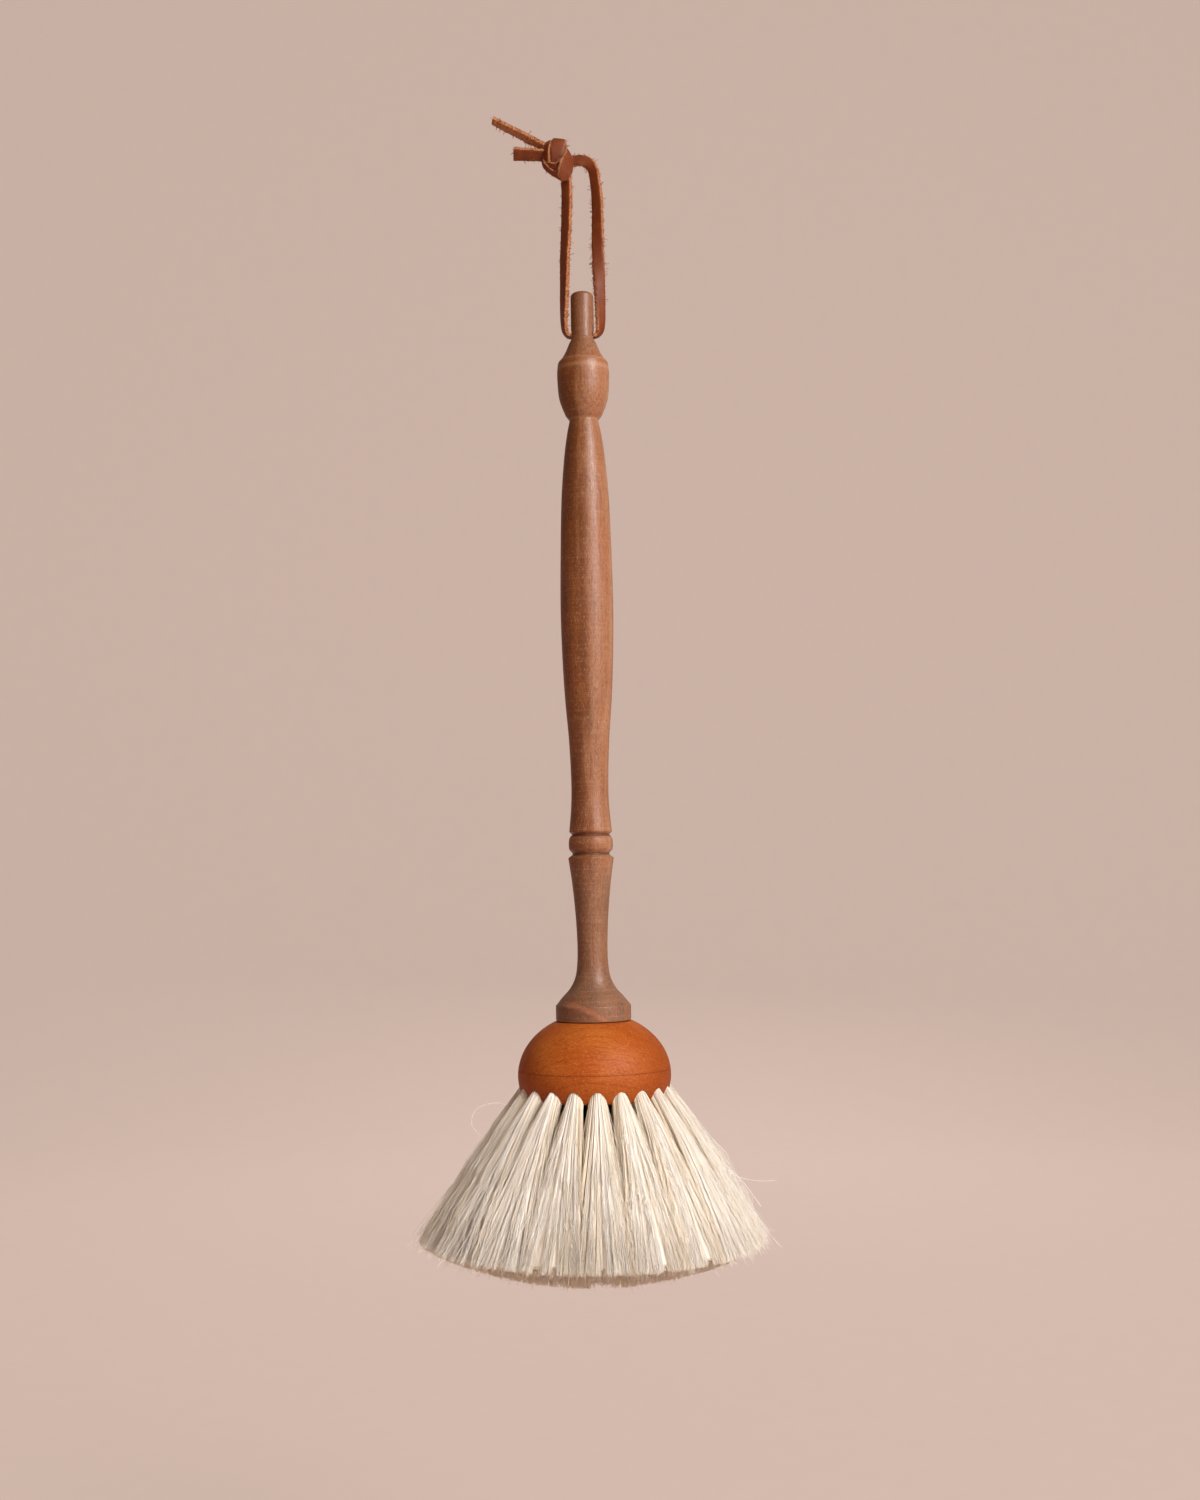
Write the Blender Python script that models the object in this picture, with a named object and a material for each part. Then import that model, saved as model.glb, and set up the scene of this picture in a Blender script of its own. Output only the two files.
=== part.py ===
"""Dusting brush: a turned handle that hangs on a leather lace, a domed head and rings of drawn hair tufts.

Metres, +Z up along the handle, the front towards -Y. The origin is the point where a peg carries the
lace, under the top of its loop. The brush hangs below it and swings on the lace about its cross-hole.
"""
import math
from typing import NamedTuple

import bmesh
import bpy
from mathutils import Matrix, Vector

# Running and glueing gaps
GLUE_GAP = 0.0003
TUFT_GAP = 0.0003
WIRE_GAP = 0.0003
LACE_GAP = 0.0004

# Lace
LACE_WIDTH = 0.0051
LACE_THICKNESS = 0.0021
LACE_SQUEEZED_WIDTH = 0.0042
LACE_STEP = 0.0022

# Handle, from its top end down
HANDLE_TOP_Z = -0.0614
END_CHAMFER = 0.0008
NECK_RADIUS = 0.0053
NECK_LENGTH = 0.0201
HOLE_BELOW_TOP = 0.0196
SHOULDER_RADIUS = 0.0096
FLARE_LENGTH = 0.0099
BULB_RADIUS = 0.01205
BULB_LENGTH = 0.0292
NOTCH_RADIUS = 0.0066
GRIP_RADIUS = 0.0121
GRIP_LENGTH = 0.1899
GRIP_WAIST_RADIUS = 0.00846
GRIP_END_RADIUS = 0.0097
GROOVE_DEPTH = 0.0017
UPPER_GROOVE_WIDTH = 0.0019
LOWER_GROOVE_WIDTH = 0.0028
BEAD_RADIUS = 0.01004
BEAD_LENGTH = 0.0070
TAPER_RADIUS = 0.01035
TAPER_LENGTH = 0.0660
STEM_RADIUS = 0.0068
COLLAR_RADIUS = 0.0170
COLLAR_LENGTH = 0.0073
COLLAR_CHAMFER = 0.0005
TENON_RADIUS = 0.0080
TENON_CHAMFER = 0.0010
HANDLE_SIDES = 24
HOLE_SIDES = 16

# Head, from the collar down
HEAD_RADIUS = 0.0345
DOME_HEIGHT = 0.0278
DOME_LEDGE = 0.0005
SEAM_ABOVE_EQUATOR = 0.0026
SEAM_RIM = 0.0055
TENON_FLOOR = 0.0028
BLOCK_THICKNESS = 0.0122
UNDERSIDE_BULGE = 0.0270
BORE_FLOOR = 0.0042
HEAD_SIDES = 36

# Tufts
BORE_RADIUS = 0.0036
RING_INSET = 0.00325
RING_SPACING = 0.0109
STRANDS_IN_A_TUFT = 9
STRAND_RADIUS = 0.0015
STRAND_TIP_RADIUS = 0.0019
TIP_SPACING = 0.0020
HAIR_LENGTH = 0.0808
HAIR_REACH = 0.0744
TRIM_RADIUS = 0.137
FIRST_AZIMUTH = math.radians(-90 + 2.5)

# Drawing wire
WIRE_RADIUS = 0.0003
WIRE_LEG_SPACING = 0.0011
WIRE_HOLE_SIDES = 6
WIRE_REACH = 0.0012
WIRE_ROOM = 0.0007

HOLE_Z = HANDLE_TOP_Z - HOLE_BELOW_TOP
HOLE_RADIUS = math.hypot(LACE_SQUEEZED_WIDTH, LACE_THICKNESS) / 2 + LACE_GAP
BEADS_LENGTH = UPPER_GROOVE_WIDTH + BEAD_LENGTH + LOWER_GROOVE_WIDTH
UPPER_LENGTH = NECK_LENGTH + FLARE_LENGTH + BULB_LENGTH + GRIP_LENGTH
HANDLE_LENGTH = UPPER_LENGTH + BEADS_LENGTH + TAPER_LENGTH + COLLAR_LENGTH
COLLAR_Z = HANDLE_TOP_Z - HANDLE_LENGTH
DOME_TOP_Z = COLLAR_Z - GLUE_GAP
DOME_RISE = DOME_HEIGHT * math.sqrt(1 - ((COLLAR_RADIUS + DOME_LEDGE) / HEAD_RADIUS) ** 2)
EQUATOR_Z = DOME_TOP_Z - DOME_RISE
SEAM_Z = EQUATOR_Z + SEAM_ABOVE_EQUATOR
RECESS_ROOF_Z = SEAM_Z + WIRE_GAP + 2 * WIRE_RADIUS + WIRE_ROOM
TENON_END_Z = RECESS_ROOF_Z + TENON_FLOOR + GLUE_GAP
BLOCK_TOP_Z = SEAM_Z - GLUE_GAP
UNDERSIDE_Z = BLOCK_TOP_Z - BLOCK_THICKNESS
BORE_DEPTH = BLOCK_THICKNESS - BORE_FLOOR
SOCKET_HALF_WIDTH = WIRE_RADIUS + WIRE_GAP
SOCKET_HALF_LENGTH = WIRE_LEG_SPACING / 2 + SOCKET_HALF_WIDTH
SOCKET_DEPTH = WIRE_REACH + WIRE_RADIUS + WIRE_GAP - TUFT_GAP
WIRE_HOLE_RADIUS = SOCKET_HALF_LENGTH / math.cos(math.pi / WIRE_HOLE_SIDES)
HAIR_BOTTOM_Z = UNDERSIDE_Z - HAIR_LENGTH


class Ring(NamedTuple):
    """One circle of tufts round the head's axis."""
    name: str
    count: int
    radius: float       # of the circle of bore mouths
    rise: float         # of the mouths over the block's underside
    slant: float        # of the bores from the vertical
    proud: float        # how far a bound root stands out of its bore
    tips_from: float    # radius at which the trimmed ends begin
    tips_to: float      # radius at which they end


OUTER_TIPS_FROM = 0.0580
MIDDLE_TIPS_FROM = 0.0350
INNER_TIPS_FROM = 0.0124
OUTER_RADIUS = HEAD_RADIUS - RING_INSET
MIDDLE_RADIUS = OUTER_RADIUS - RING_SPACING
INNER_RADIUS = MIDDLE_RADIUS - RING_SPACING
RINGS = [
    Ring("outer_tuft", 20, OUTER_RADIUS, 0.0030, math.radians(36), 0.0030, OUTER_TIPS_FROM, HAIR_REACH),
    Ring("middle_tuft", 13, MIDDLE_RADIUS, 0.0, math.radians(22), 0.0018, MIDDLE_TIPS_FROM,
         OUTER_TIPS_FROM - TIP_SPACING / 2),
    Ring("inner_tuft", 6, INNER_RADIUS, 0.0, math.radians(10), 0.0010, INNER_TIPS_FROM,
         MIDDLE_TIPS_FROM - TIP_SPACING / 2),
    Ring("centre_tuft", 1, 0.0, 0.0, 0.0, 0.0006, 0.0, INNER_TIPS_FROM - TIP_SPACING / 2),
]

# The lace's route: x, y, z, turn of its grain face from the front in degrees, and width
LACE_ROUTE = [
    (-0.0026, 0.0000, 0.0025, 0, LACE_WIDTH),
    (-0.0004, -0.0003, 0.0027, 0, LACE_WIDTH),
    (0.0020, -0.0005, 0.0023, -6, LACE_WIDTH),
    (0.0044, -0.0005, 0.0008, -20, LACE_WIDTH),
    (0.0060, -0.0004, -0.0018, -34, LACE_WIDTH),
    (0.0069, -0.0002, -0.0054, -40, LACE_WIDTH),
    (0.0076, 0.0000, -0.0130, -42, LACE_WIDTH),
    (0.0079, 0.0000, -0.0220, -37, LACE_WIDTH),
    (0.0079, 0.0000, -0.0330, -27, LACE_WIDTH),
    (0.0080, 0.0000, -0.0450, -5, LACE_WIDTH),
    (0.0082, 0.0000, -0.0560, 26, LACE_WIDTH),
    (0.0084, 0.0000, -0.0660, 46, LACE_WIDTH),
    (0.0083, 0.0000, HOLE_Z + 0.0070, 70, LACE_WIDTH),
    (0.0079, 0.0000, HOLE_Z + 0.0028, 86, LACE_SQUEEZED_WIDTH),
    (0.0063, 0.0000, HOLE_Z + 0.0004, 90, LACE_SQUEEZED_WIDTH),
    (0.0030, 0.0000, HOLE_Z, 90, LACE_SQUEEZED_WIDTH),
    (0.0000, 0.0000, HOLE_Z, 90, LACE_SQUEEZED_WIDTH),
    (-0.0030, 0.0000, HOLE_Z, 90, LACE_SQUEEZED_WIDTH),
    (-0.0063, 0.0000, HOLE_Z + 0.0004, 90, LACE_SQUEEZED_WIDTH),
    (-0.0079, 0.0000, HOLE_Z + 0.0028, 90, LACE_SQUEEZED_WIDTH),
    (-0.0081, 0.0000, HOLE_Z + 0.0070, 86, LACE_WIDTH),
    (-0.0080, 0.0000, -0.0660, 72, LACE_WIDTH),
    (-0.0077, 0.0000, -0.0560, 58, LACE_WIDTH),
    (-0.0071, 0.0000, -0.0440, 49, LACE_WIDTH),
    (-0.0066, 0.0000, -0.0330, 43, LACE_WIDTH),
    (-0.0062, 0.0000, -0.0220, 37, LACE_WIDTH),
    (-0.0061, 0.0000, -0.0130, 32, LACE_WIDTH),
    (-0.0062, 0.0000, -0.0086, 28, LACE_WIDTH),
]

# The knot: bands that wrap its centre, each a route of x, y, z and width, and the two tails
KNOT_CENTRE = Vector((-0.0108, 0.0, 0.0020))
KNOT_CORE = (0.0052, 0.0031, 0.0075)
KNOT_BANDS = [
    [
        (-0.0105, 0.0032, -0.0020, 0.0045),
        (-0.0096, 0.0046, 0.0040, 0.0055),
        (-0.0092, 0.0034, 0.0100, 0.0058),
        (-0.0091, 0.0000, 0.0122, 0.0058),
        (-0.0093, -0.0036, 0.0102, 0.0060),
        (-0.0098, -0.0047, 0.0050, 0.0058),
        (-0.0106, -0.0038, 0.0005, 0.0040),
        (-0.0112, -0.0022, -0.0022, 0.0030),
    ],
    [
        (-0.0140, 0.0026, -0.0015, 0.0040),
        (-0.0152, 0.0034, 0.0040, 0.0044),
        (-0.0148, 0.0026, 0.0090, 0.0044),
        (-0.0146, 0.0000, 0.0112, 0.0042),
        (-0.0151, -0.0028, 0.0090, 0.0042),
        (-0.0155, -0.0036, 0.0048, 0.0042),
        (-0.0149, -0.0028, 0.0006, 0.0036),
        (-0.0136, -0.0016, -0.0020, 0.0030),
    ],
    [
        (-0.0085, 0.0038, 0.0070, 0.0046),
        (-0.0056, 0.0012, 0.0062, 0.0050),
        (-0.0052, -0.0026, 0.0030, 0.0054),
        (-0.0066, -0.0051, -0.0010, 0.0060),
        (-0.0104, -0.0053, -0.0030, 0.0056),
        (-0.0144, -0.0036, -0.0026, 0.0046),
        (-0.0162, 0.0000, -0.0012, 0.0044),
        (-0.0148, 0.0030, -0.0002, 0.0040),
    ],
]
TAILS = [
    [
        (-0.0130, 0.0005, 0.0078, 76, LACE_WIDTH),
        (-0.0175, 0.0002, 0.0103, 76, LACE_WIDTH),
        (-0.0285, -0.0005, 0.0160, 74, LACE_WIDTH),
        (-0.0402, -0.0010, 0.0222, 72, LACE_WIDTH),
    ],
    [
        (-0.0140, -0.0005, 0.0052, -28, LACE_WIDTH),
        (-0.0185, -0.0006, 0.0053, -28, LACE_WIDTH),
        (-0.0245, -0.0007, 0.0055, -30, LACE_WIDTH),
        (-0.0308, -0.0008, 0.0058, -32, LACE_WIDTH),
    ],
]

FRONT = Vector((0, -1, 0))
DEPTH = Vector((0, 1, 0))
UP = Vector((0, 0, 1))


def clear_scene():
    for item in list(bpy.data.objects):
        bpy.data.objects.remove(item, do_unlink=True)


def finish_material(name, colour, roughness, metallic=0.0):
    material = bpy.data.materials.new(name)
    material.use_nodes = True
    shader = material.node_tree.nodes["Principled BSDF"]
    shader.inputs["Base Color"].default_value = (*colour, 1.0)
    shader.inputs["Roughness"].default_value = roughness
    shader.inputs["Metallic"].default_value = metallic
    return material


def add_object(name, mesh, material, parent=None):
    mesh.materials.clear()
    mesh.materials.append(material)
    mesh.shade_smooth()
    mesh.set_sharp_from_angle(angle=math.radians(38))
    item = bpy.data.objects.new(name, mesh)
    bpy.context.collection.objects.link(item)
    item.parent = parent
    return item


def add_pivot(name, height):
    """An empty on a joint's axis or at a mount, which carries the pieces of one body."""
    pivot = bpy.data.objects.new(name, None)
    pivot.location = (0, 0, height)
    bpy.context.collection.objects.link(pivot)
    return pivot


def keep_as_guide(item):
    item.hide_render = True
    item.display_type = "WIRE"


def add_boolean(item, other, operation):
    keep_as_guide(other)
    change = item.modifiers.new(operation.title() + " " + other.name, "BOOLEAN")
    change.operation = operation
    change.object = other


def mesh_of(name, bm):
    bmesh.ops.recalc_face_normals(bm, faces=bm.faces)
    mesh = bpy.data.meshes.new(name)
    bm.to_mesh(mesh)
    bm.free()
    return mesh


def smooth_route(stations, steps):
    """Points on a Catmull-Rom curve through the stations; every value of a station is carried along."""
    padded = [
        [2 * a - b for a, b in zip(stations[0], stations[1])],
        *stations,
        [2 * a - b for a, b in zip(stations[-1], stations[-2])],
    ]
    route = []
    for before, start, end, after in zip(padded, padded[1:], padded[2:], padded[3:]):
        for step in range(steps):
            t = step / steps
            route.append([
                b + ((c - a) * t + (2 * a - 5 * b + 4 * c - d) * t**2 + (3 * b - a - 3 * c + d) * t**3) / 2
                for a, b, c, d in zip(before, start, end, after)
            ])
    route.append(list(stations[-1]))
    return route


def even_route(stations, step):
    """The smooth route again, with its points about one step apart along the line."""
    fine = smooth_route(stations, 24)
    reach = [0.0]
    for a, b in zip(fine, fine[1:]):
        reach.append(reach[-1] + math.dist(a[:3], b[:3]))
    count = max(2, round(reach[-1] / step))
    route, at = [], 0
    for i in range(count + 1):
        wanted = reach[-1] * i / count
        while at < len(reach) - 2 and reach[at + 1] < wanted:
            at += 1
        share = (wanted - reach[at]) / (reach[at + 1] - reach[at])
        route.append([a + (b - a) * share for a, b in zip(fine[at], fine[at + 1])])
    return route


def turned(name, profile, sides):
    """A solid of revolution about Z from (radius, z) points that start and end on the axis."""
    bm = bmesh.new()
    points = [bm.verts.new((radius, 0, z)) for radius, z in profile]
    edges = [bm.edges.new(pair) for pair in zip(points, points[1:])]
    bmesh.ops.spin(
        bm, geom=points + edges, axis=UP, cent=(0, 0, 0), angle=math.tau, steps=sides, use_merge=True
    )
    bmesh.ops.remove_doubles(bm, verts=bm.verts, dist=1e-6)
    return mesh_of(name, bm)


def skin(bm, rings):
    """Joins rings of points into a closed body, with a face over each end."""
    made = [[bm.verts.new(point) for point in ring] for ring in rings]
    for ring, after in zip(made, made[1:]):
        for i in range(len(ring)):
            j = (i + 1) % len(ring)
            bm.faces.new((ring[i], ring[j], after[j], after[i]))
    bm.faces.new(list(reversed(made[0])))
    bm.faces.new(made[-1])


def tangents(points):
    """The direction of travel at each point of a line."""
    steps = [(b - a).normalized() for a, b in zip(points, points[1:])]
    return [steps[0]] + [(a + b).normalized() for a, b in zip(steps, steps[1:])] + [steps[-1]]


def strap_rings(points, normals, widths, thickness):
    """Four-cornered rings of a flat strap; a normal points out of its grain face."""
    rings = []
    for point, along, normal, width in zip(points, tangents(points), normals, widths):
        across = along.cross(normal).normalized() * width / 2
        out = across.cross(along).normalized() * thickness / 2
        rings.append([point + across * a + out * b for a, b in ((1, 1), (-1, 1), (-1, -1), (1, -1))])
    return rings


def turned_strap(name, stations, step):
    """A strap whose grain face is turned from the front by each station's angle."""
    route = even_route(stations, step)
    points = [Vector(station[:3]) for station in route]
    normals = []
    for station, along in zip(route, tangents(points)):
        turn = math.radians(station[3])
        normals.append(FRONT * math.cos(turn) + along.cross(DEPTH) * math.sin(turn))
    bm = bmesh.new()
    skin(bm, strap_rings(points, normals, [station[4] for station in route], LACE_THICKNESS))
    return mesh_of(name, bm)


def wrapped_band(name, stations, step):
    """A strap that lies round the knot's centre, grain side out."""
    route = even_route(stations, step)
    points = [Vector(station[:3]) for station in route]
    normals = [point - KNOT_CENTRE for point in points]
    bm = bmesh.new()
    skin(bm, strap_rings(points, normals, [station[3] for station in route], LACE_THICKNESS))
    return mesh_of(name, bm)


def make_lace(material, parent):
    add_object("hanging_lace", turned_strap("hanging_lace", LACE_ROUTE, LACE_STEP), material, parent)


def make_knot(material, parent):
    bm = bmesh.new()
    place = Matrix.Translation(KNOT_CENTRE) @ Matrix.Diagonal((*KNOT_CORE, 1))
    bmesh.ops.create_icosphere(bm, subdivisions=2, radius=1, matrix=place)
    knot = add_object("lace_knot", mesh_of("lace_knot", bm), material, parent)
    for i, band in enumerate(KNOT_BANDS):
        mesh = wrapped_band(f"knot_band_{i + 1}", band, LACE_STEP)
        add_boolean(knot, add_object(mesh.name, mesh, material, parent), "UNION")
    for i, tail in enumerate(TAILS):
        mesh = turned_strap(f"lace_tail_{i + 1}", tail, 2 * LACE_STEP)
        add_boolean(knot, add_object(mesh.name, mesh, material, parent), "UNION")


def stretch(start, length, stations, steps):
    """A smooth stretch of outline from (share of its length, radius) stations."""
    return smooth_route([(start + share * length, radius) for share, radius in stations], steps)


def between(low, high, share):
    return low + (high - low) * share


def handle_profile():
    """(radius, z) down the handle: flat end, neck, flare, bulb, grip, bead, taper, collar and tenon."""
    shoulder = NECK_LENGTH + FLARE_LENGTH
    notch = shoulder + BULB_LENGTH
    grip_end = notch + GRIP_LENGTH
    bead = grip_end + UPPER_GROOVE_WIDTH
    bead_end = bead + BEAD_LENGTH
    taper = bead_end + LOWER_GROOVE_WIDTH
    collar = taper + TAPER_LENGTH
    foot = collar + COLLAR_LENGTH
    tenon_end = HANDLE_TOP_Z - TENON_END_Z
    groove_radius = BEAD_RADIUS - GROOVE_DEPTH
    outline = [(0, 0), (0, NECK_RADIUS - END_CHAMFER), (END_CHAMFER, NECK_RADIUS)]
    outline += stretch(NECK_LENGTH, FLARE_LENGTH, [
        (0.0, NECK_RADIUS),
        (0.18, between(NECK_RADIUS, SHOULDER_RADIUS, 0.13)),
        (0.65, between(NECK_RADIUS, SHOULDER_RADIUS, 0.57)),
        (1.0, SHOULDER_RADIUS),
    ], 2)
    outline += stretch(shoulder, BULB_LENGTH, [
        (0.065, 0.940 * BULB_RADIUS),
        (0.12, 0.975 * BULB_RADIUS),
        (0.29, BULB_RADIUS),
        (0.595, 0.953 * BULB_RADIUS),
        (0.757, 0.853 * BULB_RADIUS),
        (0.918, 0.696 * BULB_RADIUS),
    ], 2)
    outline += stretch(notch, GRIP_LENGTH, [
        (0.0, NOTCH_RADIUS),
        (0.036, between(NOTCH_RADIUS, GRIP_RADIUS, 0.25)),
        (0.10, between(NOTCH_RADIUS, GRIP_RADIUS, 0.54)),
        (0.20, between(NOTCH_RADIUS, GRIP_RADIUS, 0.80)),
        (0.345, between(NOTCH_RADIUS, GRIP_RADIUS, 0.945)),
        (0.47, GRIP_RADIUS),
        (0.59, between(GRIP_WAIST_RADIUS, GRIP_RADIUS, 0.85)),
        (0.685, between(GRIP_WAIST_RADIUS, GRIP_RADIUS, 0.59)),
        (0.78, between(GRIP_WAIST_RADIUS, GRIP_RADIUS, 0.20)),
        (0.88, GRIP_WAIST_RADIUS),
        (0.94, between(GRIP_WAIST_RADIUS, GRIP_END_RADIUS, 0.20)),
        (1.0, GRIP_END_RADIUS),
    ], 2)
    outline += [
        (grip_end + 0.6 * UPPER_GROOVE_WIDTH, groove_radius),
        (bead, 0.91 * BEAD_RADIUS),
        (bead + 0.17 * BEAD_LENGTH, 0.98 * BEAD_RADIUS),
        (bead + 0.50 * BEAD_LENGTH, BEAD_RADIUS),
        (bead + 0.83 * BEAD_LENGTH, 0.98 * BEAD_RADIUS),
        (bead_end, 0.90 * BEAD_RADIUS),
        (bead_end + 0.25 * LOWER_GROOVE_WIDTH, groove_radius),
    ]
    outline += stretch(taper, TAPER_LENGTH, [
        (0.0, TAPER_RADIUS),
        (0.14, between(STEM_RADIUS, TAPER_RADIUS, 0.63)),
        (0.28, between(STEM_RADIUS, TAPER_RADIUS, 0.35)),
        (0.45, between(STEM_RADIUS, TAPER_RADIUS, 0.11)),
        (0.63, STEM_RADIUS),
        (0.755, between(STEM_RADIUS, COLLAR_RADIUS, 0.042)),
        (0.83, between(STEM_RADIUS, COLLAR_RADIUS, 0.145)),
        (0.895, between(STEM_RADIUS, COLLAR_RADIUS, 0.37)),
        (0.95, between(STEM_RADIUS, COLLAR_RADIUS, 0.69)),
        (1.0, COLLAR_RADIUS - COLLAR_CHAMFER),
    ], 2)
    outline += [
        (collar + COLLAR_CHAMFER, COLLAR_RADIUS),
        (foot - COLLAR_CHAMFER, COLLAR_RADIUS),
        (foot, COLLAR_RADIUS - COLLAR_CHAMFER),
        (foot, TENON_RADIUS),
        (tenon_end - TENON_CHAMFER, TENON_RADIUS),
        (tenon_end, TENON_RADIUS - TENON_CHAMFER),
        (tenon_end, 0),
    ]
    return [(radius, HANDLE_TOP_Z - down) for down, radius in outline]


def make_handle(material, parent):
    handle = add_object("handle", turned("handle", handle_profile(), HANDLE_SIDES), material)
    bm = bmesh.new()
    bmesh.ops.create_cone(
        bm,
        cap_ends=True,
        segments=HOLE_SIDES,
        radius1=HOLE_RADIUS,
        radius2=HOLE_RADIUS,
        depth=4 * NECK_RADIUS,
        matrix=Matrix.Translation((0, 0, HOLE_Z)) @ Matrix.Rotation(math.pi / 2, 4, "Y"),
    )
    add_boolean(handle, add_object("cross_hole", mesh_of("cross_hole", bm), material), "DIFFERENCE")
    hang(handle, parent)


def hang(item, pivot):
    """Parents an object to a pivot and leaves it where it is."""
    item.parent = pivot
    item.location = -pivot.location


def dome_arc(top_z, bottom_z, height, steps):
    """(radius, z) points on the head's ellipsoid between two heights, equally spaced in angle."""
    start, end = (math.asin((z - EQUATOR_Z) / height) for z in (top_z, bottom_z))
    angles = [start + (end - start) * i / steps for i in range(steps + 1)]
    return [(HEAD_RADIUS * math.cos(a), EQUATOR_Z + height * math.sin(a)) for a in angles]


def make_cover(material, parent):
    """The domed cover: bored from above for the tenon and hollowed below to clear the drawing wire."""
    bore = TENON_RADIUS + GLUE_GAP
    bore_floor = TENON_END_Z - GLUE_GAP
    recess = HEAD_RADIUS - SEAM_RIM
    profile = [(0, bore_floor), (bore, bore_floor), (bore, DOME_TOP_Z)]
    profile += dome_arc(DOME_TOP_Z, SEAM_Z, DOME_HEIGHT, 10)
    profile += [(recess, SEAM_Z), (recess, RECESS_ROOF_Z), (0, RECESS_ROOF_Z)]
    hang(add_object("head_cover", turned("head_cover", profile, HEAD_SIDES), material), parent)


def bore_place(ring, azimuth):
    """A tuft's mouth centre, the direction in which its hair leaves, and the tangent of its ring."""
    out = Vector((math.cos(azimuth), math.sin(azimuth), 0))
    mouth = out * ring.radius + UP * (UNDERSIDE_Z + ring.rise)
    return mouth, out * math.sin(ring.slant) - UP * math.cos(ring.slant), UP.cross(out)


def azimuths(ring):
    return [FIRST_AZIMUTH + math.tau * i / ring.count for i in range(ring.count)]


def polygon(centre, axis, side, radius, count):
    """A ring of points round an axis. The first one lies on the outward side of the tangent, side."""
    outward = axis.cross(side).normalized()
    angles = [math.tau * i / count for i in range(count)]
    return [centre + (outward * math.cos(a) + side * math.sin(a)) * radius for a in angles]


def make_block(material, parent):
    """The tuft block: a turned disc with a stepped bore for each tuft, wide below and a wire hole above."""
    profile = [(0, BLOCK_TOP_Z)]
    profile += dome_arc(BLOCK_TOP_Z, EQUATOR_Z, DOME_HEIGHT, 1)
    profile += dome_arc(EQUATOR_Z, UNDERSIDE_Z, UNDERSIDE_BULGE, 5)[1:]
    profile += [(0, UNDERSIDE_Z)]
    block = add_object("tuft_block", turned("tuft_block", profile, HEAD_SIDES), material)
    bm = bmesh.new()
    past = 2 * BORE_FLOOR
    for ring in RINGS:
        for azimuth in azimuths(ring):
            mouth, axis, side = bore_place(ring, azimuth)
            floor = mouth - axis * BORE_DEPTH
            above = floor - axis * past
            skin_stepped(bm, [
                polygon(mouth + axis * past, axis, side, BORE_RADIUS, STRANDS_IN_A_TUFT),
                polygon(floor, axis, side, BORE_RADIUS, STRANDS_IN_A_TUFT),
            ], [
                polygon(floor, axis, side, WIRE_HOLE_RADIUS, WIRE_HOLE_SIDES),
                polygon(above, axis, side, WIRE_HOLE_RADIUS, WIRE_HOLE_SIDES),
            ])
    add_boolean(block, add_object("tuft_bores", mesh_of("tuft_bores", bm), material), "DIFFERENCE")
    hang(block, parent)


def join_rings(bm, outer, inner):
    """Fills the flat ring between two loops round one centre, of like or unlike counts, with triangles."""
    nearest = min(range(len(inner)), key=lambda j: (inner[j].co - outer[0].co).length)
    outer, inner = outer + outer[:1], inner[nearest:] + inner[: nearest + 1]
    i = j = 0
    while i < len(outer) - 1 or j < len(inner) - 1:
        across_outer = (outer[i + 1].co - inner[j].co).length if i < len(outer) - 1 else math.inf
        across_inner = (inner[j + 1].co - outer[i].co).length if j < len(inner) - 1 else math.inf
        if across_outer <= across_inner:
            bm.faces.new((outer[i], outer[i + 1], inner[j]))
            i += 1
        else:
            bm.faces.new((outer[i], inner[j + 1], inner[j]))
            j += 1


def wall(bm, ring, after):
    for i in range(len(ring)):
        j = (i + 1) % len(ring)
        bm.faces.new((ring[i], ring[j], after[j], after[i]))


def skin_stepped(bm, wide, narrow):
    """A closed body of two prisms on one axis: a wide one that steps down to a narrow one."""
    wide = [[bm.verts.new(point) for point in ring] for ring in wide]
    narrow = [[bm.verts.new(point) for point in ring] for ring in narrow]
    wall(bm, *wide)
    wall(bm, *narrow)
    join_rings(bm, wide[1], narrow[0])
    bm.faces.new(wide[0])
    bm.faces.new(narrow[1])


def trimmed_height(radius):
    """Height of the trimmed hair ends at a radius: the lowest part of a large sphere."""
    return HAIR_BOTTOM_Z + TRIM_RADIUS - math.sqrt(TRIM_RADIUS**2 - radius**2)


def tip_place(ring, turn):
    """Where a strand ends; turn is its place round the tuft, 0 on the outward side."""
    if ring.count == 1:
        radius, azimuth = ring.tips_to - STRAND_TIP_RADIUS, turn
    else:
        middle = (ring.tips_from + ring.tips_to) / 2
        half_depth = (ring.tips_to - ring.tips_from) / 2 - STRAND_TIP_RADIUS
        half_angle = math.pi / ring.count - (STRAND_TIP_RADIUS + TIP_SPACING) / 2 / middle
        radius = middle + half_depth * math.cos(turn)
        azimuth = half_angle * math.sin(turn)
    return Vector((radius * math.cos(azimuth), radius * math.sin(azimuth), trimmed_height(radius)))


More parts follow.
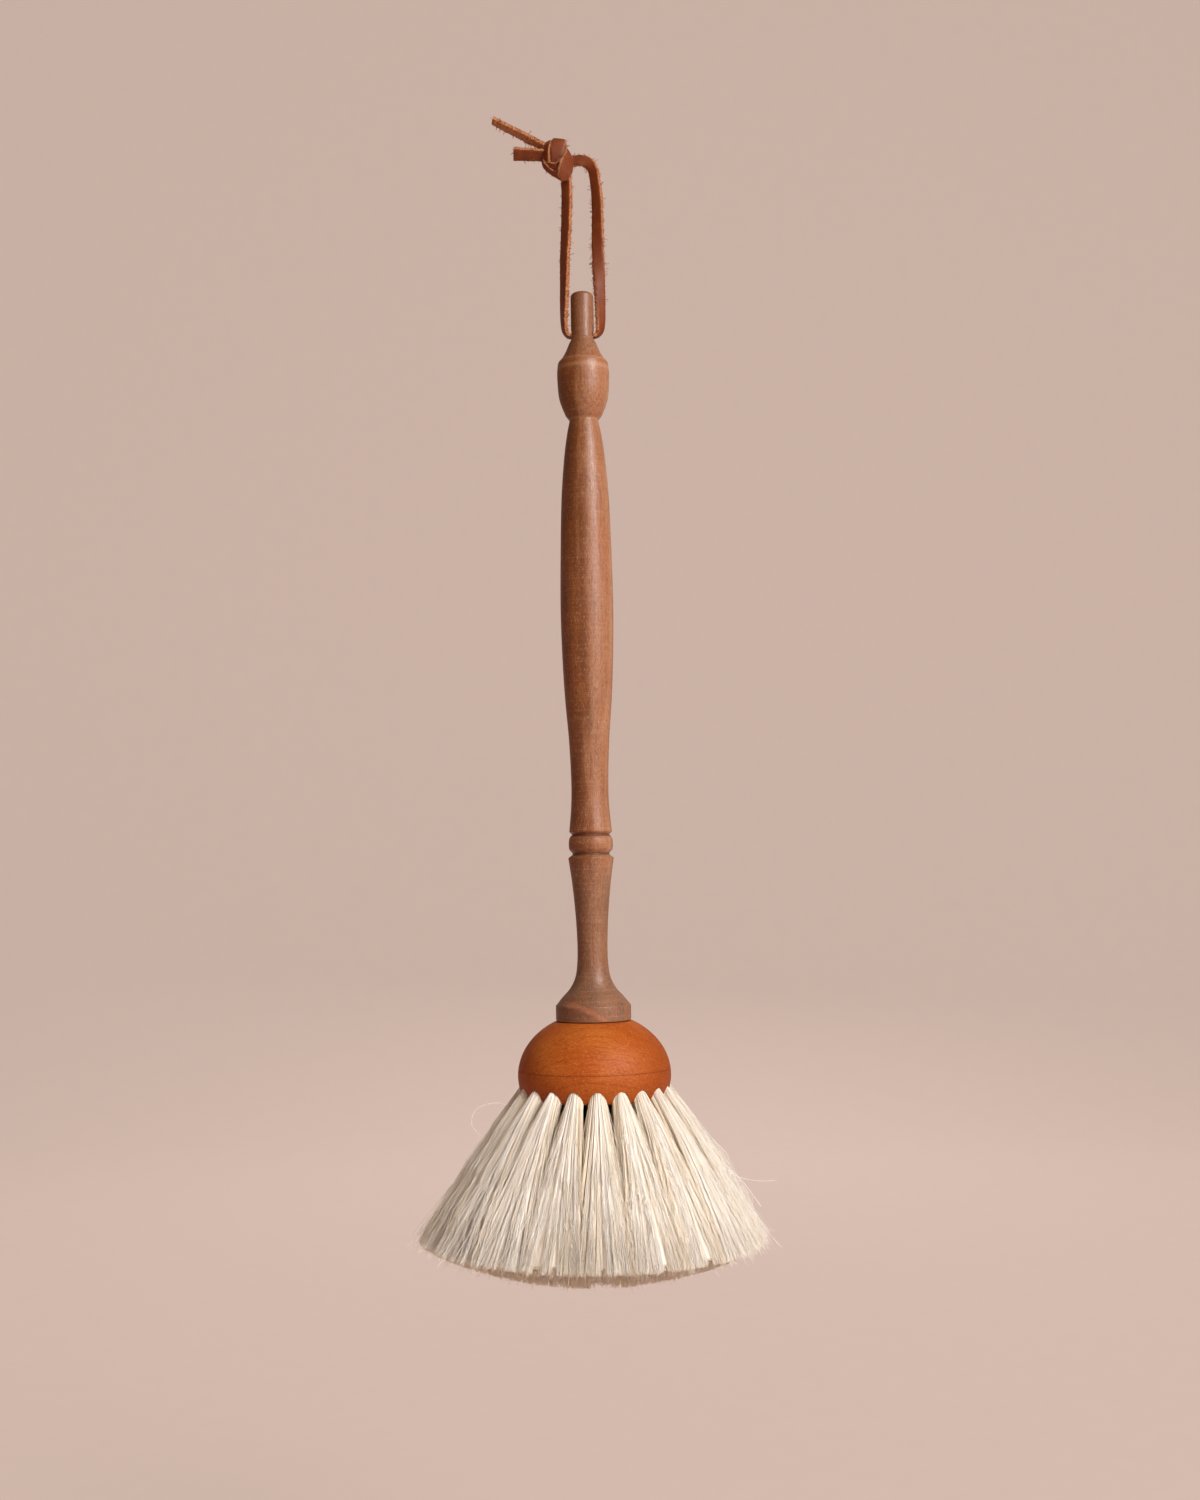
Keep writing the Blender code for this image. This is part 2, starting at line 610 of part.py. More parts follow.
def tuft_mesh(ring):
    """A tuft, drawn at azimuth 0: a bound root with a socket for the wire, and a strand from each wedge."""
    mouth, axis, side = bore_place(ring, 0.0)
    root_radius = BORE_RADIUS - TUFT_GAP
    back = mouth - axis * (BORE_DEPTH - TUFT_GAP)
    front = mouth + axis * ring.proud
    bm = bmesh.new()
    ends = [
        [bm.verts.new(point) for point in polygon(centre, axis, side, root_radius, STRANDS_IN_A_TUFT)]
        for centre in (back, front)
    ]
    wall(bm, *ends)
    outward = axis.cross(side)
    short, long = outward * SOCKET_HALF_WIDTH, side * SOCKET_HALF_LENGTH
    socket = [
        [bm.verts.new(centre + short * a + long * b) for a, b in ((1, 1), (-1, 1), (-1, -1), (1, -1))]
        for centre in (back, back + axis * SOCKET_DEPTH)
    ]
    wall(bm, *socket)
    bm.faces.new(socket[1])
    join_rings(bm, ends[0], socket[0])
    middle = bm.verts.new(front)
    for i, corner in enumerate(ends[1]):
        neighbour = ends[1][(i + 1) % STRANDS_IN_A_TUFT]
        turn = math.tau * (i + 0.5) / STRANDS_IN_A_TUFT
        tip = tip_place(ring, turn)
        base = (middle.co + corner.co + neighbour.co) / 3
        bend = base + axis * (tip - base).length / 2
        half_way = base / 4 + bend / 2 + tip / 4
        away = outward * math.cos(turn) + side * math.sin(turn)
        rings = [[middle, corner, neighbour]]
        for centre, radius in ((half_way, STRAND_RADIUS), (tip, STRAND_TIP_RADIUS)):
            rings.append([bm.verts.new(point) for point in strand_section(centre, axis, away, radius)])
        wall(bm, rings[0], rings[1])
        wall(bm, rings[1], rings[2])
        bm.faces.new(rings[2])
    return mesh_of(ring.name, bm)


def strand_section(centre, axis, away, radius):
    """A strand's three corners: one towards the middle of its tuft and two away from it."""
    level = Vector((away.x, away.y, 0)).normalized()
    beside = away.cross(axis)
    beside = Vector((beside.x, beside.y, 0)).normalized()
    return [centre - level * radius] + [centre + (level * 0.5 + beside * s * 0.87) * radius for s in (-1, 1)]


def make_tufts(material, parent):
    for ring in RINGS:
        mesh = tuft_mesh(ring)
        for i, azimuth in enumerate(azimuths(ring)):
            name = ring.name if ring.count == 1 else f"{ring.name}_{i + 1:02d}"
            tuft = add_object(name, mesh, material)
            tuft.rotation_euler.z = azimuth
            hang(tuft, parent)


def wire_route():
    """The drawing wire's corners: across the block's top from hole to hole, with a narrow loop down each."""
    run_z = BLOCK_TOP_Z + WIRE_GAP + WIRE_RADIUS
    route = []
    for ring in RINGS:
        for azimuth in azimuths(ring):
            mouth, axis, side = bore_place(ring, azimuth)
            low = mouth - axis * (BORE_DEPTH - WIRE_REACH)
            high = low + axis * (run_z - low.z) / axis.z
            offset = side * WIRE_LEG_SPACING / 2
            route += [high - offset, low - offset, low + offset, high + offset]
    return route


def make_wire(material, parent):
    points = wire_route()
    directions = tangents(points)
    bm = bmesh.new()
    rings = []
    normal = UP
    for point, along in zip(points, directions):
        normal = (normal - along * normal.dot(along)).normalized()
        beside = along.cross(normal)
        rings.append([point + normal * WIRE_RADIUS, point + beside * WIRE_RADIUS,
                      point - normal * WIRE_RADIUS, point - beside * WIRE_RADIUS])
    skin(bm, rings)
    hang(add_object("drawing_wire", mesh_of("drawing_wire", bm), material), parent)


def main():
    clear_scene()
    pearwood = finish_material("pearwood", (0.42, 0.22, 0.13), 0.42)
    stained_wood = finish_material("stained_wood", (0.46, 0.18, 0.07), 0.38)
    hair = finish_material("goat_hair", (0.84, 0.79, 0.68), 0.6)
    leather = finish_material("leather", (0.30, 0.09, 0.04), 0.5)
    wire = finish_material("drawing_wire", (0.72, 0.70, 0.66), 0.3, 1.0)
    peg = add_pivot("peg_point", 0)
    swing = add_pivot("swing_axis", HOLE_Z)
    make_lace(leather, peg)
    make_knot(leather, peg)
    make_handle(pearwood, swing)
    make_cover(stained_wood, swing)
    make_block(stained_wood, swing)
    make_wire(wire, swing)
    make_tufts(hair, swing)


if __name__ == "__main__":
    main()
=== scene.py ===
"""The looks of the dusting brush: turned handle, domed head, drawn tufts of hair and a knotted leather lace.

Metres, +Z up along the handle, the front towards -Y. The origin is where a peg carries the lace.
Run as a script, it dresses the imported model. Its sizes, colours and steps are those of an add-on's panel.
"""
import math
import random

import bmesh
import bpy
from bpy.props import FloatProperty, FloatVectorProperty, IntProperty, PointerProperty
from mathutils import Matrix, Vector


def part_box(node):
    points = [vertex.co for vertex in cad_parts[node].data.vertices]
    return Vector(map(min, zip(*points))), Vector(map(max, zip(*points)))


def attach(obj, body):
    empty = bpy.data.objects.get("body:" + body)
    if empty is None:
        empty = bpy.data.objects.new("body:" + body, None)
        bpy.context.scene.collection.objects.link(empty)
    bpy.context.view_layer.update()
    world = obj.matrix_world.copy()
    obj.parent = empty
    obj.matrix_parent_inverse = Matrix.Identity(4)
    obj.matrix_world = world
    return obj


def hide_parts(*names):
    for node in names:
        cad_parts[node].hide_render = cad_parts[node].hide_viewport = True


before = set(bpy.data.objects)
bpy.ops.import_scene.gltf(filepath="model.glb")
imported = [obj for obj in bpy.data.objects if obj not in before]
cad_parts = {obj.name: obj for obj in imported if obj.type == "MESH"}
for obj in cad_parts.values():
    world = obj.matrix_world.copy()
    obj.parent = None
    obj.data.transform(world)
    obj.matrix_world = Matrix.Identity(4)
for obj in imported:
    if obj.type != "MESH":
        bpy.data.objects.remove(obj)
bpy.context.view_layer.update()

bl_info = {
    "name": "Dusting brush",
    "version": (1, 0, 0),
    "blender": (4, 5, 0),
    "location": "3D View > Sidebar > Brush",
    "description": "Dresses a dusting brush in turned wood, drawn hair and a knotted leather lace",
    "category": "Object",
}

FRONT = Vector((0, -1, 0))
DEPTH = Vector((0, 1, 0))
UP = Vector((0, 0, 1))

# Fineness of the surfaces: merged doubles, corners that count as sharp, steps of a route, and the smallest
# turn that is eased, over how much of a short stretch at most and in how many steps
MERGE_DISTANCE = 0.000002
SHARP_WOOD = math.radians(32)
SHARP_LEATHER = math.radians(50)
FINE_STEPS = 24
EASED_FROM = math.radians(22)
EASED_SHARE = 0.45
EASING_STEPS = 4

# Levels of the solids, from the top down
HANDLE_TOP_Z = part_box("handle")[1].z
DOME_TOP_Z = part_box("head_cover")[1].z
SEAM_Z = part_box("head_cover")[0].z
BLOCK_TOP_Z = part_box("tuft_block")[1].z
UNDERSIDE_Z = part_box("tuft_block")[0].z

# Cross-hole through the neck; it flares by (distance past the neck's surface, extra radius)
NECK_RADIUS = 0.0053
HOLE_Z = HANDLE_TOP_Z - 0.0196
HOLE_RADIUS = 0.00275
HOLE_SIDES = 48
HOLE_FLARE = [(-0.0005, 0.0), (-0.0002, 0.00008), (0.0002, 0.00038), (0.004, 0.0030)]

# Handle outline: stretches of (distance below its top end, radius); corners stand between the stretches
COLLAR_RADIUS = 0.0170
COLLAR_FOOT = 0.3341
TENON_RADIUS = 0.0080
TENON_CHAMFER = 0.0010
OUTLINE_STEPS = 7
HANDLE_STRETCHES = [
    [
        (-0.0012, 0.0), (-0.0011, 0.0026), (-0.0008, 0.0039), (-0.0003, 0.0047), (0.0004, 0.0052),
        (0.0012, NECK_RADIUS),
    ],
    [(0.0201, NECK_RADIUS), (0.02188, 0.00586), (0.02654, 0.00775), (0.0300, 0.0096)],
    [
        (0.0319, 0.01133), (0.0335, 0.01175), (0.03847, 0.01205), (0.04737, 0.01148), (0.0521, 0.01028),
        (0.05681, 0.00839),
    ],
    [
        (0.0592, 0.0066), (0.06604, 0.00798), (0.07819, 0.00957), (0.09718, 0.01100), (0.12472, 0.01180),
        (0.14845, 0.01210), (0.17124, 0.01155), (0.18928, 0.01061), (0.20732, 0.00919), (0.22631, 0.00846),
        (0.23771, 0.00871), (0.2491, 0.0097),
    ],
    [(0.25024, 0.00834), (0.2510, 0.00914)],
    [(0.25219, 0.00984), (0.2545, 0.01004), (0.25681, 0.00984), (0.2580, 0.00904)],
    [(0.2587, 0.00834), (0.2594, 0.00834)],
    [
        (0.2608, 0.01035), (0.27004, 0.00904), (0.27928, 0.00804), (0.2905, 0.00719), (0.30238, 0.0068),
        (0.31063, 0.00723), (0.31558, 0.00828), (0.31987, 0.01057), (0.3235, 0.01384), (0.3268, 0.0165),
    ],
    [(0.3273, COLLAR_RADIUS), (0.3336, COLLAR_RADIUS), (COLLAR_FOOT, 0.0165), (COLLAR_FOOT, TENON_RADIUS)],
]

# Rings of darker and paler tone round the handle: distance below its top end, half width, share and tone
GROOVE_TONE = (0.075, 0.026, 0.012)
HANDLE_RING_TONES = [
    (0.2506, 0.0009, 0.80, GROOVE_TONE), (0.2591, 0.0009, 0.80, GROOVE_TONE),
    (0.0330, 0.0010, 0.50, (0.28, 0.086, 0.024)), (0.0316, 0.0007, 0.22, (0.56, 0.33, 0.21)),
    (0.0352, 0.0016, 0.26, (0.54, 0.32, 0.20)), (0.0590, 0.0008, 0.24, (0.54, 0.32, 0.20)),
    (COLLAR_FOOT, 0.0009, 0.45, (0.54, 0.31, 0.19)),
]

# Heights between which the wood's tone changes: painted shade on the neck, a greyer tone on the lower part,
# painted light and shade from the grip up, and more painted shade above it
NECK_PAINTED_SHADE_Z = (HANDLE_TOP_Z - 0.032, HANDLE_TOP_Z - 0.024)
ASHEN_TONE_Z = (-0.315, -0.345)
GRIP_PAINTED_LIGHT_Z = (-0.310, -0.270)
UPPER_PAINTED_SHADE_Z = (-0.205, -0.165)

# Crest of the pale arc in the collar's figure
FIGURE_X = -0.0125
FIGURE_Z = HANDLE_TOP_Z - 0.3268

# Head
HEAD_RADIUS = 0.0345
DOME_HEIGHT = 0.0278
EQUATOR_Z = SEAM_Z - 0.0026
UNDERSIDE_BULGE = 0.0270
DOME_STEPS = 28
RIM_STEPS = 4
BULGE_STEPS = 12
SEAM_RIM = 0.0055
SEAM_GAP = 0.00004
GLUE_GAP = 0.0003
WIRE_ROOM = 0.0016
TENON_FLOOR = 0.0028
RECESS_ROOF_Z = SEAM_Z + WIRE_ROOM
TENON_END_Z = RECESS_ROOF_Z + TENON_FLOOR + GLUE_GAP
BORE_RADIUS = 0.0036
BORE_DEPTH = 0.0080
BORE_SIDES = 28
WIRE_HOLE_RADIUS = 0.0013
CUTTER_EXCESS = 0.0090

# Tufts: each is a soft mass of hair with fine strands on it, cut to a low dome at the bottom. The outer
# ones fan out a little wider on the left.
HAIR_BOTTOM_Z = UNDERSIDE_Z - 0.0808
TRIM_RADIUS = 0.170
FIRST_AZIMUTH = math.radians(-87.5)
LEFT_SPREAD = 0.06
TIP_OVERLAP = 1.20
ROOT_SUNK = 0.0020
STRAND_POINTS = 5
MASS_SIDES = 44
MASS_RINGS = 13
MASS_MERGE_DISTANCE = 0.000005

# The mass: how much of a tuft's section it takes up, how much more at its end on the side of the brush's
# middle, the depth of its grooves, how far above the trimmed ends it stops and how unevenly, and its shade
# at the end, where 0 is straw and 1 is white; it is straw at its root, as painted warm shade deep in the
# tuft
MASS_REACH = 0.86
INNER_FILL = 0.10
GROOVE_DEPTH = 0.14
MASS_CUT = 0.0022
MASS_UNEVENNESS = 0.002
MASS_SHADE = 0.42

# The strands: the share of locks inside the tuft, how wide a lock is in shares of the tuft's radius, how far
# locks, strands and loose strands stray at their ends, and how thin a strand is at its root
INNER_LOCKS = 0.2
LOCK_WIDTH = 0.026
LOCK_WANDER = 0.0026
STRAND_CURL = 0.0016
LOOSE_CURL = 0.0450
ROOT_THINNING = 0.72

# Rings of tufts: name, count, radius and rise of the bore mouths, slant, the inner and outer radius of the
# trimmed ends, how square an end is, and how much the mass fills out towards its end
RINGS = [
    ("outer_tuft", 20, 0.03125, 0.0030, math.radians(36), 0.0570, 0.0744, 0.6, -0.10),
    ("middle_tuft", 13, 0.02035, 0.0, math.radians(22), 0.0340, 0.0576, 0.9, 0.10),
    ("inner_tuft", 6, 0.00945, 0.0, math.radians(10), 0.0118, 0.0345, 0.9, 0.10),
    ("centre_tuft", 1, 0.0, 0.0, 0.0, 0.0, 0.0122, 0.0, 0.10),
]

# The lace's route: x, y, z, turn of its grain face from the front in degrees, and share of its width
LACE_ROUTE = [
    (-0.0068, -0.0004, 0.0022, 0, 0.90), (-0.0048, -0.0002, 0.0024, 0, 0.98),
    (-0.0026, 0.0000, 0.0025, 0, 1.0), (-0.0004, -0.0003, 0.0027, 0, 1.0),
    (0.0020, -0.0005, 0.0023, -6, 1.0), (0.0044, -0.0005, 0.0008, -20, 1.0),
    (0.0060, -0.0004, -0.0018, -30, 1.0), (0.0069, -0.0002, -0.0054, -34, 1.0),
    (0.0076, 0.0000, -0.0130, -38, 1.12), (0.0079, 0.0000, -0.0220, -36, 1.15),
    (0.0078, 0.0000, -0.0330, -28, 1.15), (0.0079, 0.0000, -0.0450, -8, 1.12),
    (0.0082, 0.0000, -0.0560, 20, 1.08), (0.0085, 0.0000, -0.0660, 38, 1.05),
    (0.0085, 0.0000, HOLE_Z + 0.0070, 54, 1.15), (0.0080, 0.0000, HOLE_Z + 0.0028, 68, 1.10),
    (0.0063, 0.0000, HOLE_Z + 0.0004, 90, 0.82), (0.0030, 0.0000, HOLE_Z, 90, 0.82),
    (0.0000, 0.0000, HOLE_Z, 90, 0.82), (-0.0030, 0.0000, HOLE_Z, 90, 0.82),
    (-0.0063, 0.0000, HOLE_Z + 0.0004, 90, 0.82), (-0.0079, 0.0000, HOLE_Z + 0.0028, 78, 1.12),
    (-0.0084, 0.0000, HOLE_Z + 0.0070, 72, 1.22), (-0.0083, 0.0000, -0.0660, 64, 1.20),
    (-0.0080, 0.0000, -0.0560, 57, 1.15), (-0.0076, 0.0000, -0.0440, 51, 1.15),
    (-0.0070, 0.0000, -0.0330, 47, 1.15), (-0.0065, 0.0000, -0.0220, 44, 1.15),
    (-0.0063, 0.0000, -0.0130, 42, 1.10), (-0.0064, 0.0000, -0.0086, 38, 1.05),
    (-0.0066, -0.0004, -0.0040, 32, 1.0), (-0.0074, -0.0010, 0.0004, 24, 0.90),
]

# The knot: its centre, the bands that wrap it as x, y, z and width, and its two tails
KNOT_CENTRE = Vector((-0.0108, 0.0, 0.0020))
KNOT_CORE = (0.0050, 0.0030, 0.0072)
KNOT_BANDS = [
    [
        (-0.0105, 0.0032, -0.0020, 0.0045), (-0.0096, 0.0046, 0.0040, 0.0055),
        (-0.0092, 0.0034, 0.0100, 0.0058), (-0.0091, 0.0000, 0.0122, 0.0058),
        (-0.0096, -0.0038, 0.0102, 0.0064), (-0.0103, -0.0050, 0.0050, 0.0063),
        (-0.0111, -0.0044, 0.0005, 0.0044), (-0.0112, -0.0022, -0.0022, 0.0030),
    ],
    [
        (-0.0140, 0.0026, -0.0015, 0.0040), (-0.0152, 0.0034, 0.0040, 0.0044),
        (-0.0148, 0.0026, 0.0090, 0.0044), (-0.0146, 0.0000, 0.0112, 0.0042),
        (-0.0149, -0.0026, 0.0090, 0.0044), (-0.0153, -0.0034, 0.0048, 0.0044),
        (-0.0149, -0.0028, 0.0006, 0.0036), (-0.0136, -0.0016, -0.0020, 0.0030),
    ],
    [
        (-0.0085, 0.0038, 0.0072, 0.0046), (-0.0058, 0.0014, 0.0070, 0.0050),
        (-0.0054, -0.0022, 0.0040, 0.0052), (-0.0072, -0.0046, -0.0004, 0.0060),
        (-0.0107, -0.0050, -0.0027, 0.0054), (-0.0138, -0.0042, -0.0012, 0.0036),
        (-0.0158, -0.0012, 0.0006, 0.0028), (-0.0150, 0.0026, 0.0014, 0.0028),
    ],
    [
        (-0.0054, -0.0002, 0.0066, 0.0044), (-0.0050, -0.0036, 0.0026, 0.0068),
        (-0.0060, -0.0056, -0.0016, 0.0086), (-0.0070, -0.0054, -0.0050, 0.0074),
        (-0.0074, -0.0036, -0.0080, 0.0040),
    ],
    [
        (-0.0160, 0.0022, 0.0046, 0.0026), (-0.0168, -0.0004, 0.0026, 0.0028),
        (-0.0160, -0.0028, -0.0006, 0.0030), (-0.0134, -0.0038, -0.0036, 0.0030),
        (-0.0100, -0.0038, -0.0058, 0.0030), (-0.0078, -0.0030, -0.0070, 0.0028),
    ],
]
TAILS = [
    [
        (-0.0130, 0.0005, 0.0078, -108, 0.95), (-0.0175, 0.0002, 0.0103, -108, 0.95),
        (-0.0285, -0.0005, 0.0160, -109, 0.95), (-0.0402, -0.0010, 0.0222, -110, 0.80),
    ],
    [
        (-0.0140, -0.0005, 0.0052, 50, 1.18), (-0.0185, -0.0006, 0.0054, 50, 1.20),
        (-0.0245, -0.0007, 0.0057, 50, 1.22), (-0.0308, -0.0008, 0.0060, 50, 1.25),
    ],
]

# A strap's section, as shares of its half width and half thickness, and how raw each point is
STRAP_SECTION = [
    (-0.97, 0.30, 1.0), (-0.93, 0.66, 0.8), (-0.84, 0.90, 0.15), (-0.66, 1.00, 0.0), (-0.33, 1.04, 0.0),
    (0.0, 1.05, 0.0), (0.33, 1.04, 0.0), (0.66, 1.00, 0.0), (0.84, 0.90, 0.15), (0.93, 0.66, 0.8),
    (0.97, 0.30, 1.0), (1.00, -0.15, 1.0), (1.00, -0.60, 1.0), (0.94, -0.92, 1.0), (0.60, -1.00, 0.9),
    (0.20, -0.98, 0.9), (-0.20, -0.98, 0.9), (-0.60, -1.00, 0.9), (-0.94, -0.92, 1.0), (-1.00, -0.60, 1.0),
    (-1.00, -0.15, 1.0),
]

# Thickness of the knot's bands beside that of the lace, steps along bands and straps, and the loose fibres,
# which stand where a strap is at least that raw
BAND_THINNING = 0.8
BAND_STEP = 0.0006
STRAP_STEP = 0.0005
FIBRE_RADIUS = 0.00008
RAW_FROM = 0.95

# Loose hairs that stand out of the brush's outline, each a route of x, y, z
STRAY_STEPS = 6
STRAY_THICKENING = 1.2
STRAY_HAIRS = [
    [
        (-0.0375, -0.006, -0.4330), (-0.0440, -0.010, -0.4306), (-0.0520, -0.012, -0.4325),
        (-0.0550, -0.012, -0.4385), (-0.0520, -0.011, -0.4440), (-0.0470, -0.009, -0.4480),
    ],
    [
        (0.0560, -0.004, -0.4620), (0.0650, -0.006, -0.4660), (0.0740, -0.008, -0.4672),
        (0.0800, -0.009, -0.4668),
    ],
    [(0.0600, -0.010, -0.4700), (0.0680, -0.013, -0.4780), (0.0760, -0.015, -0.4880)],
    [(0.0540, -0.016, -0.4560), (0.0640, -0.020, -0.4650), (0.0720, -0.022, -0.4760)],
    [(-0.0560, -0.008, -0.4720), (-0.0660, -0.010, -0.4800), (-0.0745, -0.012, -0.4900)],
    [(-0.0520, -0.014, -0.4660), (-0.0620, -0.018, -0.4770), (-0.0720, -0.020, -0.4880)],
    [(-0.0600, -0.002, -0.4750), (-0.0700, -0.002, -0.4840), (-0.0780, -0.003, -0.4930)],
]

# Camera and floor
CAMERA_AIM = Vector((0.0049, 0.0, -0.2732))
CAMERA_DISTANCE = 0.852
CAMERA_LIFT = math.radians(4.0)
CAMERA_ROLL = math.radians(0.96)
SENSOR_WIDTH = 36.0
FLOOR_HALF_WIDTH = 4.5
FLOOR_FRONT = -4.0
BEND_START = 1.7
BEND_RADIUS = 0.9
BEND_STEPS = 16
BACKDROP_TOP = 3.2
AMBIENT_COLOUR = (1.0, 0.81, 0.67)
HORIZON_COLOUR = (0.66, 0.51, 0.44)

# Lights: name, size, bearing, elevation and distance from the brush's middle, colour, shown in reflections
BRUSH_MIDDLE = Vector((0.0, 0.0, -0.27))
LIGHTS = [
    ("key", 1.1, 42, 27, 2.2, (1.0, 1.0, 1.0), True),
    ("fill", 1.4, -40, 6, 2.0, (1.0, 0.80, 0.68), False),
    ("back", 1.4, 176, 22, 2.0, (1.0, 1.0, 1.0), False),
    ("bounce", 1.0, 15, -60, 0.9, (1.0, 0.84, 0.74), False),
]


def whole(name, description, default, low, high):
    return IntProperty(name=name, description=description, default=default, min=low, max=high)


def metres(name, description, default, low=0.0, high=1.0):
    return FloatProperty(
        name=name, description=description, default=default, min=low, max=high, unit="LENGTH"
    )


def watts(name, description, default):
    return FloatProperty(name=name, description=description, default=default, min=0, max=500, unit="POWER")


def fraction(name, description, default):
    return FloatProperty(name=name, description=description, default=default, min=0, max=1, subtype="FACTOR")


def paint(name, description, default):
    return FloatVectorProperty(
        name=name, description=description, default=default, size=3, min=0, max=1, subtype="COLOR"
    )


class HandleSettings(bpy.types.PropertyGroup):
    sides: whole("Sides", "Sides of the turned surface", 128, 24, 256)
    easing: metres("Easing", "How far from a corner its rounding starts", 0.00035, high=0.002)
    wood: paint("Wood", "Middle tone of the pearwood", (0.315, 0.125, 0.056))
    # Heart also gives the painted shade on the handle's left side, and bloom the painted light on its right.
    heart: paint("Heart", "Redder wood in the streaks", (0.150, 0.036, 0.005))
    bloom: paint("Bloom", "Pale pinkish wood between the streaks", (0.415, 0.215, 0.123))
    roughness: fraction("Roughness", "Roughness of the oiled surface", 0.43)


class HeadSettings(bpy.types.PropertyGroup):
    sides: whole("Sides", "Sides of the turned surface", 160, 24, 256)
    easing: metres("Easing", "How far from a corner its rounding starts", 0.00016, high=0.002)
    stain: paint("Stain", "Middle tone of the stained wood", (0.40, 0.078, 0.006))
    growth: paint("Growth lines", "Darker lines of late growth", (0.24, 0.038, 0.003))
    roughness: fraction("Roughness", "Roughness of the varnish", 0.56)


class HairSettings(bpy.types.PropertyGroup):
    outer_strands: whole("Outer strands", "Strands in a tuft of the outer ring", 2600, 10, 5000)
    middle_strands: whole("Middle strands", "Strands in a tuft of the middle ring", 800, 10, 5000)
    inner_strands: whole("Inner strands", "Strands in a tuft of the inner rings", 600, 10, 5000)
    lock: whole("Lock", "Strands that lie together in a lock", 16, 1, 100)
    thickness: metres("Thickness", "Radius of a strand", 0.000105, 0.00001, 0.001)
    fringe: metres("Fringe", "How unevenly the ends are trimmed", 0.0008, high=0.01)
    seed: whole("Seed", "Seed of the tufts' random values", 11, 0, 9999)
    cream: paint("Cream", "Colour of most locks", (0.965, 0.885, 0.78))
    white: paint("White", "Colour of the palest locks", (0.99, 0.955, 0.90))
    # Straw is also the painted warm shade at the tufts' sides and near the mass's root.
    straw: paint("Straw", "Colour of the yellowest locks", (0.94, 0.78, 0.57))


class LaceSettings(bpy.types.PropertyGroup):
    width: metres("Width", "Width of the strip", 0.0051, 0.001, 0.02)
    thickness: metres("Thickness", "Thickness of the strip", 0.0021, 0.0005, 0.01)
    raggedness: metres("Raggedness", "How far the cut edges stray from straight", 0.00030, high=0.001)
    fibres: FloatProperty(
        name="Fibres", description="Loose fibres on a square metre of raw edge", default=1200000, min=0,
        max=5000000,
    )
    seed: whole("Seed", "Seed of the ragged edges and fibres", 5, 0, 9999)
    grain: paint("Grain side", "Colour of the smooth side", (0.150, 0.027, 0.003))
    raw: paint("Raw edge", "Colour of the cut edges and the rough side", (0.44, 0.18, 0.080))
    roughness: fraction("Roughness", "Roughness of the smooth side", 0.46)


class StageSettings(bpy.types.PropertyGroup):
    backdrop: paint("Backdrop", "Colour of the floor and the backdrop", (0.66, 0.50, 0.43))
    paleness: fraction("Paleness", "How much of the backdrop's own colour shows without light", 0.8)
    drop: metres("Drop", "Height of the floor, below the peg", -0.70, -3.0, -0.55)
    key_power: watts("Key light", "Power of the main soft light", 63.0)
    fill_power: watts("Fill light", "Power of the light on the shaded side", 5.0)
    back_power: watts("Back light", "Power of the light on the back", 26.0)
    bounce_power: watts("Bounce light", "Power of the light from below, as off a pale floor", 4.0)
    ambient: FloatProperty(
        name="Ambient", description="Strength of the light from all round", default=0.16, min=0, max=2
    )
    lens: FloatProperty(
        name="Lens", description="The camera's focal length", default=44.8, min=10, max=200, unit="CAMERA"
    )


class BrushSettings(bpy.types.PropertyGroup):
    handle: PointerProperty(type=HandleSettings)
    head: PointerProperty(type=HeadSettings)
    hair: PointerProperty(type=HairSettings)
    lace: PointerProperty(type=LaceSettings)
    stage: PointerProperty(type=StageSettings)


class Value:
    """A node's output, on which Python's operators add the nodes of their maths."""

    def __init__(self, nodes, socket):
        self.nodes = nodes
        self.socket = socket

    def out(self, name):
        """Another output of the same node."""
        return Value(self.nodes, self.socket.node.outputs[name])

    def __add__(self, other):
        return self.nodes.maths("ADD", self, other)

    def __radd__(self, other):
        return self.nodes.maths("ADD", other, self)

    def __sub__(self, other):
        return self.nodes.maths("SUBTRACT", self, other)

    def __rsub__(self, other):
        return self.nodes.maths("SUBTRACT", other, self)

    def __mul__(self, other):
        return self.nodes.maths("MULTIPLY", self, other)

    def __truediv__(self, other):
        return self.nodes.maths("DIVIDE", self, other)


